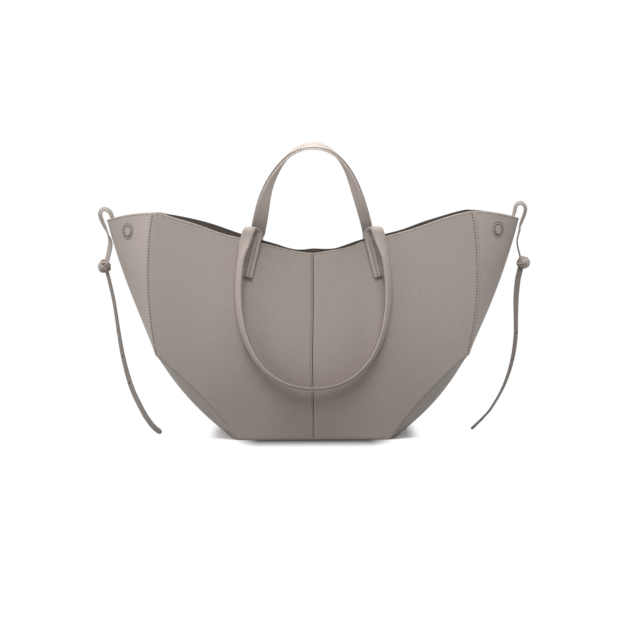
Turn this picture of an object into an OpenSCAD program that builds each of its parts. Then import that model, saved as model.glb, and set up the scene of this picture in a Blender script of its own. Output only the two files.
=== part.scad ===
// Trapeze bag: soft leather tote with outward folded wings, two handles and a lace at each wing.
// X is the width, -Y the front, +Z up. The origin is the middle of the base, on the floor.

/* [Body] */
// Width of the flat base
base_w = 177; // [150:1:200]
// Depth of the flat base, front to back
base_d = 145; // [110:1:170]
// Half width where each wing starts, above the end facet of the base
foot_x = 180; // [165:1:195]
// Height where each wing starts
foot_z = 99; // [85:1:115]
// Half width of the front and back panels at the rim
rim_half = 188; // [175:1:200]
// Height of the rim at the side seams
rim_high = 264; // [245:1:285]
// Height of the rim at the middle
rim_low = 218; // [200:1:235]
// Half width over the wing tips
tip_x = 246; // [230:1:265]
// Height of the wing tips
tip_z = 256; // [235:1:275]
// Front to back opening of the mouth at its middle
mouth_mid = 92; // [70:1:120]
// Front to back opening of the mouth at the side seams
mouth_side = 96; // [80:1:120]
// How far the front and back bulge
belly = 8; // [3:0.5:14]
// How far the side seams bow outwards
seam_bow = 8; // [2:0.5:12]
// How far the folded ridge of a wing bows outwards
ridge_bow = 6; // [2:0.5:10]
// How far each end of the flat base bulges
base_bulge = 15; // [8:1:20]
// How far the strip bulges at the foot of the wing
foot_bulge = 6; // [2:0.5:8]
// How far the end facets of the base bulge
facet_bulge = 6.5; // [2:0.5:9]
// How far the creases beside the end facets sag inwards
crease_sag = 5; // [1:0.5:6]

/* [Leather] */
// Thickness of the outer leather
skin_t = 1.8; // [1.2:0.1:2.2]
// Thickness of the lining
lining_t = 0.7; // [0.5:0.1:1.2]
// Thickness of the leather facing inside the mouth
facing_t = 1; // [0.8:0.1:1.6]
// Room between the leather and the lining
lining_room = 1.8; // [1.7:0.1:2.6]
// Gap between two pieces that are sewn edge to edge
seam_gap = 0.2; // [0.1:0.05:0.4]
// Thickness of the board in the base
board_t = 1.4; // [1:0.1:1.5]
// Corner radius of the board in the base
board_r = 10; // [4:1:20]
// Room between the board and the walls
board_room = 4; // [3:0.5:8]

/* [Magnets] */
// Diameter of each magnet in the wings
magnet_d = 12; // [8:0.5:14]
// Thickness of each magnet
magnet_t = 1.2; // [1:0.1:1.4]
// Diameter of the raised leather disc over each magnet
cap_d = 13.6; // [10:0.2:16]
// Height of the raised leather disc
cap_t = 1.1; // [0.8:0.1:1.6]

/* [Handles] */
// Width of the handle strap
strap_w = 14; // [11:0.5:16]
// Thickness of the handle strap
strap_t = 4.4; // [3.6:0.1:5]
// Width of the tape inside the handle strap
tape_w = 9; // [6:0.5:10]
// Thickness of the tape inside the handle strap
tape_t = 0.6; // [0.4:0.1:0.8]
// Half distance between the lower ends of the tabs of one handle
tab_low_x = 75.3; // [72:0.1:80]
// Half distance between the tabs at the rim
tab_high_x = 67.8; // [64:0.1:72]
// Height of the lower ends of the tabs
tab_low_z = 186; // [175:1:195]
// Reach of the front handle from its fold to its middle
front_reach = 192; // [175:1:198]
// Reach of the rear handle from the rim to its middle
rear_reach = 226; // [205:1:240]
// Half width of the front handle at its fold
front_root_x = 73; // [70:0.5:77]
// Radius of the fold of the front handle, to the middle of the strap
fold_r = 5.2; // [4.6:0.1:6.5]
// Height of the fold of the front handle above the rim
fold_rise = 15; // [13:0.5:18]
// Lean of the hanging front handle away from the vertical
hang_lean = 9.5; // [6:0.5:14]
// Forward lean of the standing rear handle
rear_lean = 62; // [50:1:66]
// Twist of the front handle strap from a leg to its middle
front_twist = 82; // [60:1:90]
// Twist of the rear handle strap from a leg to its middle
rear_twist = 51; // [30:1:70]
// Further forward travel of the rear handle
rear_forward = 8; // [4:1:12]

/* [Laces] */
// Width of each lace
lace_w = 7; // [5:0.5:7.5]
// Thickness of each lace
lace_t = 2; // [1.6:0.1:2.2]
// Width of each lace knot
knot_w = 16.5; // [14:0.5:18]
// Height of each lace knot
knot_h = 15.5; // [13:0.5:17]

/* [Hidden] */

// Colours of the pieces, as the photo shows them
leather = [0.62, 0.58, 0.55];
leather_shade = [0.52, 0.48, 0.45];
inside = [0.44, 0.39, 0.36];
steel = [0.75, 0.75, 0.77];
board_grey = [0.35, 0.35, 0.36];

// Grid steps of the leather and of the lining: along the facet, up the wing, across half a panel,
// across a side strip, along the base
leather_grid = [6, 9, 8, 12, 8];
lining_grid = [4, 6, 6, 8, 6];
handle_steps = 17;
fold_steps = 4;

// Share of the height parameter at the foot of the wing, and at the lower edge of the facing
foot_share = 0.42;
facing_share = 0.87;
// Above this share the facing runs in towards the leather of the rim
ramp_share = 0.965;
// Clearance between pieces laid on each other
lay = 0.15;

lining_d = skin_t + lining_room;
board_z = skin_t + lay;

function lerp(a, b, t) = a + (b - a) * t;
function unit_share(t) = min(1, max(0, t));
function smooth(t) = t * t * (3 - 2 * t);
function dome(t) = 4 * t * (1 - t);
function unit(v) = v / norm(v);

// Rim of the front panel: a soft dip in the middle
function rim_rise(u) = 0.5 * smooth(u) + 0.3 * u + 0.2 * u * u;
function rim_z(x) = lerp(rim_low, rim_high, rim_rise(min(1, abs(x) / rim_half)));

// Half depth of the bag at a point of the front panel
function half_depth(x, z) =
    let (v = unit_share(z / rim_z(x)), u = min(1, abs(x) / rim_half))
    lerp(base_d / 2, lerp(mouth_mid, mouth_side, u) / 2, v * v)
        + belly * pow(sin(180 * pow(v, 0.8)), 2) * (1 - 0.6 * u * u);

// Edge of the front panel in the XZ plane: base, crease of the facet, side seam
facet_run = [foot_x - base_w / 2, foot_z];
facet_out = [facet_run[1], -facet_run[0]] / norm(facet_run);
function edge(b) =
    b < 0 ? [base_w / 2 * (1 + b), 0] :
    b <= foot_share ? let (t = b / foot_share)
        [base_w / 2, 0] + facet_run * t - facet_out * crease_sag * dome(t) :
    let (t = (b - foot_share) / (1 - foot_share))
        [lerp(foot_x, rim_half, t) + seam_bow * dome(t), lerp(foot_z, rim_high, t)];

// Middle of the side strip in the XZ plane: base, bulged facet, folded ridge of the wing
function ridge(b) =
    let (end = base_w / 2 + base_bulge, foot = foot_x + foot_bulge)
    b < 0 ? [end * (1 + b), 0] :
    b <= foot_share ? let (t = b / foot_share)
        [lerp(end, foot, t), foot_z * t] + facet_out * facet_bulge * dome(t) :
    let (t = (b - foot_share) / (1 - foot_share))
        [lerp(foot, tip_x, t) + ridge_bow * dome(t), lerp(foot_z, tip_z, t)];

// Mitred inward offset of such a line, level at the rim
mitre_step = 0.01;
function side_normal(p, q) = let (d = unit(q - p)) [d[1], -d[0]];
function mitre(p, q, r) =
    let (m = side_normal(p, q), n = side_normal(q, r)) (m + n) / (1 + m * n);
function level(m, b) = [m[0], m[1] * (1 - unit_share((b - 0.8) / 0.2))];
function wing_angle(b) =
    let (s = edge(max(b, foot_share)))
    90 - (90 - atan2(half_depth(s[0], s[1]), ridge(max(b, foot_share))[0] - s[0]))
        * unit_share((b - foot_share) / 0.1);
function edge_in(b, d) =
    let (m = mitre(edge(b - mitre_step), edge(b), edge(b + mitre_step)))
    edge(b) - d * tan(wing_angle(b) / 2) * level(m, b);
function ridge_in(b, d) =
    let (m = mitre(ridge(b - mitre_step), ridge(b), ridge(b + mitre_step)))
    ridge(b) - d / sin(wing_angle(b)) * level(m, b);

// Point of the front, a from -1 to 1 across, b from 0 at the base to 1 at the rim, d deep
function front_point(a, b, d) =
    let (
        s = edge_in(b, d),
        u = abs(a),
        x = a * (s[0] - seam_gap / 2),
        z = lerp(lerp(d, rim_low, b), s[1], u)
            + pow(b, 3) * (rim_z(u * rim_half) - lerp(rim_low, rim_high, u))
            + (1 - b) * seam_gap / 2)
    [x, -(half_depth(x, z) - d), z];

// Point of the right side strip, w from -1 at the front seam to 1 at the back seam
tip_round = 0.12;
function fold_round(b) = lerp(1.2, tip_round, sqrt(unit_share((b - foot_share) / (0.9 - foot_share))));
function fold_share(w, e) = (sqrt(1 + e * e) - sqrt(w * w + e * e)) / (sqrt(1 + e * e) - e);
function side_point(b, w, d) =
    let (
        s = edge_in(b, d),
        m = ridge_in(b, d),
        g = fold_share(w, fold_round(b)),
        y = w * (half_depth(s[0], s[1]) - d - seam_gap / 2),
        crown = (rim_high - tip_z) * g * (1 - g) * pow(b, 8))
    [lerp(s[0], m[0], g), y, lerp(s[1], m[1], g) + crown];

// Point of the flat base, a from -1 to 1 along, w from -1 to 1 across
function base_point(a, w, d) =
    let (x = a * lerp(edge_in(0, d)[0], ridge_in(0, d)[0], fold_share(w, fold_round(0))))
    [x, w * (half_depth(x, d) - d - seam_gap / 2), d];

function steps(lo, hi, n) = [for (i = [0:n]) lerp(lo, hi, i / n)];
function wing_levels(top, grid) = steps(foot_share + seam_share, top, grid[1]);
function panel_levels(top, grid) = concat(
    steps(0, foot_share, grid[0]), [for (i = [1:grid[1]]) lerp(foot_share, top, i / grid[1])]);
seam_share = seam_gap / 400;

// Depth of the outer face of the facing, which meets the leather at the rim
function facing_d(b) = lerp(lining_d, skin_t + lay, smooth(unit_share((b - ramp_share) / (1 - ramp_share))));

// Two triangles of one four-sided face, split along either diagonal
function quad(a, b, c, d, other = false) = other ? [[a, b, d], [b, c, d]] : [[a, b, c], [a, c, d]];

// Closed sheet between two grids of points
module sheet(outer, inner) {
    n = len(outer);
    m = len(outer[0]);
    k = n * m;
    faces = concat(
        [for (i = [0:n - 2], j = [0:m - 2])
            each quad(i * m + j, (i + 1) * m + j, (i + 1) * m + j + 1, i * m + j + 1)],
        [for (i = [0:n - 2], j = [0:m - 2])
            each quad(k + i * m + j, k + i * m + j + 1, k + (i + 1) * m + j + 1, k + (i + 1) * m + j)],
        [for (i = [0:n - 2]) each quad(i * m, k + i * m, k + (i + 1) * m, (i + 1) * m)],
        [for (i = [0:n - 2])
            each quad((i + 1) * m + m - 1, k + (i + 1) * m + m - 1, k + i * m + m - 1, i * m + m - 1)],
        [for (j = [0:m - 2]) each quad(j + 1, k + j + 1, k + j, j)],
        [for (j = [0:m - 2])
            each quad((n - 1) * m + j, k + (n - 1) * m + j, k + (n - 1) * m + j + 1, (n - 1) * m + j + 1)]);
    polyhedron([for (r = outer) each r, for (r = inner) each r], faces);
}

// Closed bar through a list of rings of points
module bar(rings, other = false) {
    n = len(rings);
    m = len(rings[0]);
    faces = concat(
        [[for (k = [0:m - 1]) m - 1 - k]],
        [for (i = [0:n - 2], k = [0:m - 1])
            each quad(i * m + k, i * m + (k + 1) % m, (i + 1) * m + (k + 1) % m, (i + 1) * m + k, other)],
        [[for (k = [0:m - 1]) (n - 1) * m + k]]);
    polyhedron([for (r = rings) each r], faces);
}

// Sheets of the bag between two depths
module front_sheet(d0, d1, across, levels) {
    sheet([for (b = levels) [for (a = across) front_point(a, b, d0)]],
          [for (b = levels) [for (a = across) front_point(a, b, d1)]]);
}
module side_sheet(d0, d1, across, levels) {
    sheet([for (b = levels) [for (w = across) side_point(b, w, d0)]],
          [for (b = levels) [for (w = across) side_point(b, w, d1)]]);
}
module half_panel() {
    front_sheet(0, skin_t, steps(0.001, 1, leather_grid[2]), panel_levels(1, leather_grid));
}
module gusset() {
    side_sheet(0, skin_t, steps(-1, 1, leather_grid[3]), wing_levels(1, leather_grid));
}

// Base strip with both end facets, from one foot line over the base to the other
function mirror_x(p) = [-p[0], p[1], p[2]];
function base_strip(d, grid) =
    let (
        across = steps(-1, 1, grid[3]),
        facets = steps(foot_share - seam_share, 0, grid[0]),
        flats = [for (i = [1:grid[4] - 1]) lerp(-1, 1, i / grid[4])])
    concat(
        [for (b = facets) [for (w = across) mirror_x(side_point(b, w, d))]],
        [for (a = flats) [for (w = across) base_point(a, w, d)]],
        [for (i = [0:grid[0]]) [for (w = across) side_point(facets[grid[0] - i], w, d)]]);
module base_sheet(d0, d1, grid) {
    sheet(base_strip(d1, grid), base_strip(d0, grid));
}
module base_panel() {
    color(leather_shade) base_sheet(0, skin_t, leather_grid);
}

// Stiff board in the base
module base_board() {
    w = base_w - 2 * (skin_t + board_room);
    h = base_d - 2 * (skin_t + board_room);
    color(board_grey) translate([0, 0, board_z]) linear_extrude(board_t) {
        square([w - 2 * board_r, h], center = true);
        square([w, h - 2 * board_r], center = true);
        for (x = [-1, 1], y = [-1, 1])
            translate([x * (w / 2 - board_r), y * (h / 2 - board_r)]) circle(board_r, $fn = 48);
    }
}

module lining_front() {
    color(inside) front_sheet(lining_d, lining_d + lining_t, steps(-1, 1, 2 * lining_grid[2]),
        panel_levels(facing_share - seam_share, lining_grid));
}
module lining_right() {
    color(inside) side_sheet(lining_d, lining_d + lining_t, steps(-1, 1, lining_grid[3]),
        wing_levels(facing_share - seam_share, lining_grid));
}
module lining_base() {
    color(inside) base_sheet(lining_d, lining_d + lining_t, lining_grid);
}

// Leather facing inside the mouth
facing_levels = [facing_share + 2 * seam_share, 0.91, ramp_share, 0.98, 1];
module facing_front() {
    across = steps(-1, 1, 2 * leather_grid[2]);
    color(leather_shade) sheet(
        [for (b = facing_levels) [for (a = across) front_point(a, b, facing_d(b))]],
        [for (b = facing_levels) [for (a = across) front_point(a, b, facing_d(b) + facing_t)]]);
}
module facing_right() {
    across = steps(-1, 1, leather_grid[3]);
    color(leather_shade) sheet(
        [for (b = facing_levels) [for (w = across) side_point(b, w, facing_d(b))]],
        [for (b = facing_levels) [for (w = across) side_point(b, w, facing_d(b) + facing_t)]]);
}

// Place a piece on the front half of the right wing, its Z out of the leather
magnet_share = 0.932;
magnet_side = -0.5;
module on_wing(depth) {
    p = side_point(magnet_share, magnet_side, 0);
    du = side_point(magnet_share + 0.02, magnet_side, 0) - p;
    dw = side_point(magnet_share, magnet_side + 0.05, 0) - p;
    n = unit(cross(dw, du));
    translate(p - n * depth) rotate([0, acos(n[2]), atan2(n[1], n[0])]) children();
}
module magnet() {
    color(steel) on_wing(skin_t + 2.4 * lay + magnet_t) cylinder(d = magnet_d, h = magnet_t, $fn = 48);
}
module magnet_cap() {
    edge_r = cap_t * 0.55;
    color(leather) on_wing(-3 * lay) rotate_extrude($fn = 48) {
        square([cap_d / 2 - edge_r, cap_t]);
        square([cap_d / 2, cap_t - edge_r]);
        translate([cap_d / 2 - edge_r, cap_t - edge_r]) circle(edge_r, $fn = 24);
    }
}

// Outer face of the front panel, d deep, as a point
function front_face(x, z, d) = [x, -(half_depth(x, z) - d), z];

// Reinforcement behind a tab
module backer() {
    half = strap_w / 2 + 1;
    low = tab_low_z - 3;
    high = lerp(rim_low, rim_high, rim_rise(tab_high_x / rim_half)) * 0.93;
    thick = lining_room - 4 * lay;
    function mid(z) = lerp(tab_low_x, tab_high_x, (z - tab_low_z) / (rim_z(tab_high_x) - tab_low_z));
    levels = steps(low, high, 4);
    across = steps(-half, half, 4);
    color(inside) sheet(
        [for (z = levels) [for (a = across) front_face(mid(z) + a, z, skin_t + lay)]],
        [for (z = levels) [for (a = across) front_face(mid(z) + a, z, skin_t + lay + thick)]]);
}

// Section of a whole strap, width along the first axis, thickness along the second
function strap_section(w, t) = [
    [-w / 2, -t * 0.32], [-w / 2 + t * 0.22, -t / 2 + t * 0.04], [0, -t / 2],
    [w / 2 - t * 0.22, -t / 2 + t * 0.04], [w / 2, -t * 0.32], [w / 2, t * 0.32],
    [w / 2 - t * 0.22, t / 2 - t * 0.04], [0, t / 2], [-w / 2 + t * 0.22, t / 2 - t * 0.04],
    [-w / 2, t * 0.32]];
// Section of one of the two layers of a handle, with room for the tape
function layer_section(w, t) =
    let (g = seam_gap / 2, room = tape_t / 2 + seam_gap / 2, half = tape_w / 2 + seam_gap)
    [[-w / 2, g], [-half, g], [-half, room], [half, room], [half, g], [w / 2, g],
     [w / 2 - t * 0.08, t * 0.36], [w * 0.28, t * 0.48], [0, t / 2], [-w * 0.28, t * 0.48],
     [-w / 2 + t * 0.08, t * 0.36]];
function tape_section(w, t) = [[-w / 2, -t / 2], [w / 2, -t / 2], [w / 2, t / 2], [-w / 2, t / 2]];

// Ring of a section at a point, with its width and normal directions
function ring(section, p, w, n) = [for (q = section) p + q[0] * w + q[1] * n];

// Tab, sewn to the front panel, which ends at the rim or runs into the fold of the handle
tab_top_z = rim_z(tab_high_x) + fold_rise - fold_r - strap_t / 2;
rear_top_z = rim_z(tab_high_x) + 4;
tab_t = strap_t - 0.8;
function tab_x(z) = lerp(tab_low_x, tab_high_x, (z - tab_low_z) / (rim_z(tab_high_x) - tab_low_z));
function tab_y(z) = let (top = rim_z(tab_high_x)) -(half_depth(tab_x(min(z, top)), min(z, top))
    + lay + strap_t / 2) + 0.1 * max(0, z - top);
function tab_point(z) = [tab_x(z), tab_y(z), z];
function tab_ring(z, share) =
    let (
        p = tab_point(z),
        t = unit(tab_point(z + 1) - tab_point(z - 1)),
        w = unit([1, 0, -t[0] / t[2]]),
        n = unit(cross(w, t)),
        thick = lerp(tab_t, strap_t, share))
    ring(strap_section(lerp(strap_w * 0.86, strap_w, share), thick), p - n * (thick - strap_t) / 2, w, -n);
tab_levels = [0, 0.03, 0.2, 0.4, 0.6, 0.8, 1];

// Fold of the front handle: a quarter turn on the tab, the rest on the free strap
fold_turns = 5;
fold_mid = [tab_y(tab_top_z) - fold_r, tab_top_z];
front_axis = [fold_mid[0], fold_mid[1] + fold_r + strap_t / 2 + seam_gap];
function fold_ring(angle, x, section) =
    let (out = [0, cos(angle), sin(angle)])
    ring(section, [x, fold_mid[0], fold_mid[1]] + fold_r * out, [1, 0, 0], -out);
module front_tab() {
    straight = [for (s = tab_levels) tab_ring(lerp(tab_low_z, tab_top_z, s), s)];
    turn = [for (i = [1:fold_turns]) let (s = i / fold_turns)
        fold_ring(90 * s, lerp(tab_x(tab_top_z), front_root_x, s), strap_section(strap_w, strap_t))];
    color(leather) bar(concat(straight, turn));
}
module rear_tab() {
    color(leather) bar(concat(
        [for (s = tab_levels) if (s < 1) tab_ring(lerp(tab_low_z, rear_top_z, s), s)],
        [let (p = tab_point(rear_top_z)) ring(strap_section(strap_w, strap_t), p, [1, 0, 0], [0, -1, 0])]));
}

// Flat course of a handle: half width and reach from one root to the middle, as a curve
function bend(a, b, c, d, t) =
    pow(1 - t, 3) * a + 3 * pow(1 - t, 2) * t * b + 3 * (1 - t) * t * t * c + pow(t, 3) * d;
function flat_course(root, swell, shoulder, reach, rise, s) =
    let (t = 1 - abs(s), side = s < 0 ? -1 : 1)
    [side * bend(root, swell, shoulder, 0, t), bend(0, rise, reach, reach, t)];
front_swell = 29;
front_shoulder = 17;
front_rise = 0.4;
rear_swell = -7;
rear_shoulder = -21;
rear_rise = 0.31;
function front_course(s) = flat_course(front_root_x, front_root_x + front_swell,
    front_root_x + front_shoulder, front_reach, front_reach * front_rise, s);
function rear_course(s) = flat_course(rear_root_x, rear_root_x + rear_swell,
    rear_root_x + rear_shoulder, rear_reach, rear_reach * rear_rise, s);

// Upright profile of the front handle: [y, z, angle of travel below the level] at a reach
arc_end = (90 - hang_lean) * PI / 180 * fold_r;
function front_profile(l) =
    l < arc_end ? let (a = l / fold_r * 180 / PI)
        [fold_mid[0] - fold_r * sin(a), fold_mid[1] + fold_r * cos(a), a] :
    let (a = 90 - hang_lean, r = l - arc_end)
        [fold_mid[0] - fold_r * sin(a) - r * cos(a), fold_mid[1] + fold_r * cos(a) - r * sin(a), a];

// Frame of a handle at a share of its course: [point, width direction, normal of the outer layer]
function twist_share(s) = smooth(unit_share((1 - abs(s) - 0.12) / 0.88));
function strap_frame(p, along, normal, flow, twist) =
    let (
        inward = flow[1] * [1, 0, 0] - flow[0] * along,
        w = cos(twist) * inward + sin(twist) * normal,
        n = cos(twist) * normal - sin(twist) * inward)
    [p, w, n];
course_step = 0.002;
function front_frame(s) =
    let (
        c = front_course(s),
        way = s < 0 ? 1 : -1,
        flow = unit((front_course(s + way * course_step) - c) * way),
        q = front_profile(c[1]),
        f = unit(lerp([0, way], flow, smooth(unit_share(c[1] / arc_end)))),
        along = [0, -cos(q[2]), -sin(q[2])],
        normal = [0, sin(q[2]), -cos(q[2])])
    strap_frame([c[0], q[0], q[1]], along, normal, f, front_twist * twist_share(s));
rear_root_x = tab_x(rear_top_z);
rear_along = [0, -sin(rear_lean), cos(rear_lean)];
rear_normal = [0, cos(rear_lean), sin(rear_lean)];
rear_axis = [-tab_y(rear_top_z) + strap_t / 2 + seam_gap, rear_top_z + 1.5 * seam_gap];
function rear_frame(s) =
    let (
        c = rear_course(s),
        way = s < 0 ? 1 : -1,
        f = unit((rear_course(s + way * course_step) - c) * way),
        root = [0, rear_axis[0], rear_axis[1]] - rear_normal * strap_t / 2)
    strap_frame(root + [c[0], 0, 0] + rear_along * c[1], rear_along, rear_normal, f,
        rear_twist * twist_share(s));

// Rings of a whole handle, its ends square at the fold or cut level at the rim
function frame_ring(section, f) = ring(section, f[0], f[1], f[2]);
front_speed = 3 * front_reach * front_rise;
front_start = 4 * lay / front_speed;
front_fold = arc_end / front_speed;
front_stations = concat(steps(1 - front_start, 1 - front_fold, fold_steps),
    [for (i = [1:handle_steps]) (1 - front_fold) * (1 - i / handle_steps)]);
module front_strap(section, other = false) {
    n = len(front_stations) - 1;
    bar(concat(
        [for (i = [0:n]) frame_ring(section, front_frame(-front_stations[i]))],
        [for (i = [1:n]) frame_ring(section, front_frame(front_stations[n - i]))]), other);
}
rear_cut = 90 - rear_lean - rear_forward;
rear_start = 0.045;
function rear_end(section, side) =
    let (f = rear_frame(side))
    [for (q = section) f[0] + q[0] * f[1] + q[1] * f[2]
        + rear_along * (strap_t / 2 + seam_gap - q[1]) / tan(rear_cut)];
module rear_strap(section, other = false) {
    bar(concat(
        [rear_end(section, -1)],
        [for (s = steps(rear_start - 1, 1 - rear_start, 2 * handle_steps))
            frame_ring(section, rear_frame(s))],
        [rear_end(section, 1)]), other);
}
function flipped(section) = [for (i = [len(section) - 1:-1:0]) [section[i][0], -section[i][1]]];

// Lace: a smooth run through chosen points, each [x, z, y, turn of the width out of the Y direction]
function run_point(p, i, t) =
    let (n = len(p) - 1, a = p[max(0, i - 1)], b = p[i], c = p[min(n, i + 1)], d = p[min(n, i + 2)])
    0.5 * (2 * b + (c - a) * t + (2 * a - 5 * b + 4 * c - d) * t * t
        + (3 * b - a - 3 * c + d) * t * t * t);
function run(p, n) = [for (i = [0:len(p) - 2], k = [0:n - 1]) run_point(p, i, k / n), p[len(p) - 1]];
function lace_section(w, t) = [
    [-w / 2, 0], [-w / 2 + t * 0.3, -t / 2], [w / 2 - t * 0.3, -t / 2],
    [w / 2, 0], [w / 2 - t * 0.3, t / 2], [-w / 2 + t * 0.3, t / 2]];
function spot(q) = [q[0], q[2], q[1]];
// Share of the thickness left at an end that bends, growing back over a short length
hinge_share = 0.22;
hinge_len = 1.8;
function thin(q, ends) = lace_t * min([1, for (e = ends) hinge_share + (1 - hinge_share) * norm(spot(q) - spot(e)) / hinge_len]);
module lace(points, n, end_share, ends) {
    q = run(points, n);
    last = len(q) - 1;
    bar([for (i = [0:last])
        let (
            t = unit(spot(q[min(last, i + 1)]) - spot(q[max(0, i - 1)])),
            flat = unit(cross(t, [0, 1, 0])),
            w = cos(q[i][3]) * [0, 1, 0] + sin(q[i][3]) * flat,
            square_w = unit(w - (w * t) * t),
            width = i == 0 || i == last ? lace_w * end_share : lace_w)
        ring(lace_section(width, thin(q[i], ends)), spot(q[i]), square_w, cross(t, square_w))]);
}

// Where the laces bend: below the slit end at the wing tip, and below each knot
tie_x = 247;
tie_z = 239.2;
knot_right = [251, 0, 201];
knot_left = [250, 0, 198.7];
tail_in = 3;
tail_drop = 8.8;
function tie_end(side) = [tie_x, tie_z + side * 2 * lay, 0, 0];
function near_end(side) = [tie_x + (side > 0 ? 0.3 : -0.5), tie_z + side * hinge_len, 0, 0];
function tail_top(knot, turn) = [knot[0] - tail_in, knot[2] - tail_drop, 0, turn];
function tail_neck(knot, turn) = tail_top(knot, turn) - [0.2, hinge_len, 0, 0];
function knot_top(knot) = [knot[0] - 1, knot[2] + knot_h / 2 + lay, 0, 20];

// Routes of the laces on the right side of the bag, in round numbers
loop_in = [[224, 226, 0, 0], [229.5, 240, 0, 0], [235, 252, 0, 0], [238.5, 261, 0, 10], [243.5, 269, 0, 20],
    [250, 271.5, 0, 25], [255.5, 267, 0, 25], [255.5, 259, 0, 20], [251, 249, 0, 10], near_end(1), tie_end(1)];
strap_right = [tie_end(-1), near_end(-1), [244.5, 228, 0, 10], [246, 216, 0, 20], knot_top(knot_right)];
strap_left = [tie_end(-1), near_end(-1), [243, 228, 0, 10], [244, 214, 0, 20], knot_top(knot_left)];
tail_right = [tail_top(knot_right, 30), tail_neck(knot_right, 30), [244.5, 172, 0, 35], [243.5, 150, 0, 40],
    [240.5, 115, 0, 45], [233, 66, 0, 50], [220, 38, 0, 60], [205, 19, 0, 65], [191, 6, 0, 70]];
tail_left = [tail_top(knot_left, 25), tail_neck(knot_left, 25), [239.5, 160, 0, 30], [233.5, 130, 0, 35],
    [225, 86, 0, 45], [214.5, 47, 0, 60], [204, 26, 0, 70], [194, 12, 0, 75], [183, 4.4, 0, 80]];

// Knot: a lump with the furrows of the wrapped lace
module knot(centre) {
    rows = 8;
    cols = 15;
    r = [knot_w / 2, knot_w / 2 * 0.92, knot_h / 2];
    function lump(i, j) =
        let (
            u = 180 * i / rows,
            v = 360 * j / cols,
            s = 1 + 0.07 * cos(3 * v + 2 * u) * sin(u) - 0.07)
        centre + [r[0] * s * sin(u) * cos(v), r[1] * s * sin(u) * sin(v), r[2] * s * cos(u)];
    points = concat([lump(0, 0)], [for (i = [1:rows - 1], j = [0:cols - 1]) lump(i, j)], [lump(rows, 0)]);
    last = len(points) - 1;
    function at(i, j) = 1 + (i - 1) * cols + j % cols;
    faces = concat(
        [for (j = [0:cols - 1]) [0, at(1, j + 1), at(1, j)]],
        [for (i = [1:rows - 2], j = [0:cols - 1])
            each quad(at(i, j), at(i, j + 1), at(i + 1, j + 1), at(i + 1, j))],
        [for (j = [0:cols - 1]) [last, at(rows - 1, j), at(rows - 1, j + 1)]]);
    color(leather_shade) polyhedron(points, faces);
}

// Loop of a lace over the rim of the wing tip, down to the slit end it is pulled through
module tie_loop() {
    color(leather_shade) lace(loop_in, 3, 0.8, [tie_end(1)]);
}
module tie_strap(route) {
    color(leather_shade) lace(route, 3, 0.6, [tie_end(-1)]);
}
module tie_tail(route) {
    color(leather_shade) lace(route, 3, 0.5, [route[0]]);
}

// Side and back copies
module flip_x() { mirror([1, 0, 0]) children(); }
module flip_y() { mirror([0, 1, 0]) children(); }

module front_panel_left() { color(leather) flip_x() half_panel(); }
module front_panel_right() { color(leather) half_panel(); }
module back_panel_left() { color(leather) flip_x() flip_y() half_panel(); }
module back_panel_right() { color(leather) flip_y() half_panel(); }
module gusset_left() { color(leather) flip_x() gusset(); }
module gusset_right() { color(leather) gusset(); }
module lining_back() { flip_y() lining_front(); }
module lining_left() { flip_x() lining_right(); }
module facing_back() { flip_y() facing_front(); }
module facing_left() { flip_x() facing_right(); }
module magnet_front_left() { flip_x() magnet(); }
module magnet_front_right() { magnet(); }
module magnet_back_left() { flip_x() flip_y() magnet(); }
module magnet_back_right() { flip_y() magnet(); }
module magnet_cap_front_left() { flip_x() magnet_cap(); }
module magnet_cap_front_right() { magnet_cap(); }
module magnet_cap_back_left() { flip_x() flip_y() magnet_cap(); }
module magnet_cap_back_right() { flip_y() magnet_cap(); }
module front_tab_left() { flip_x() front_tab(); }
module front_tab_right() { front_tab(); }
module rear_tab_left() { flip_x() flip_y() rear_tab(); }
module rear_tab_right() { flip_y() rear_tab(); }
module front_backer_left() { flip_x() backer(); }
module front_backer_right() { backer(); }
module rear_backer_left() { flip_x() flip_y() backer(); }
module rear_backer_right() { flip_y() backer(); }
module front_handle_outer() { color(leather) front_strap(layer_section(strap_w, strap_t)); }
module front_handle_inner() { color(leather) front_strap(flipped(layer_section(strap_w, strap_t))); }
module front_handle_tape() { color(inside) front_strap(tape_section(tape_w, tape_t), true); }
module rear_handle_outer() { color(leather) rear_strap(layer_section(strap_w, strap_t)); }
module rear_handle_inner() { color(leather) rear_strap(flipped(layer_section(strap_w, strap_t))); }
module rear_handle_tape() { color(inside) rear_strap(tape_section(tape_w, tape_t), true); }
module left_tie_loop() { flip_x() tie_loop(); }
module left_tie_strap() { flip_x() tie_strap(strap_left); }
module left_knot() { flip_x() knot(knot_left); }
module left_tail() { flip_x() tie_tail(tail_left); }
module right_tie_loop() { tie_loop(); }
module right_tie_strap() { tie_strap(strap_right); }
module right_knot() { knot(knot_right); }
module right_tail() { tie_tail(tail_right); }

front_panel_left();
front_panel_right();
back_panel_left();
back_panel_right();
gusset_left();
gusset_right();
base_panel();
base_board();
lining_front();
lining_back();
lining_left();
lining_right();
lining_base();
facing_front();
facing_back();
facing_left();
facing_right();
magnet_front_left();
magnet_front_right();
magnet_back_left();
magnet_back_right();
magnet_cap_front_left();
magnet_cap_front_right();
magnet_cap_back_left();
magnet_cap_back_right();
front_tab_left();
front_tab_right();
rear_tab_left();
rear_tab_right();
front_backer_left();
front_backer_right();
rear_backer_left();
rear_backer_right();
front_handle_outer();
front_handle_inner();
front_handle_tape();
rear_handle_outer();
rear_handle_inner();
rear_handle_tape();
left_tie_loop();
left_tie_strap();
left_knot();
left_tail();
right_tie_loop();
right_tie_strap();
right_knot();
right_tail();
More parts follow.
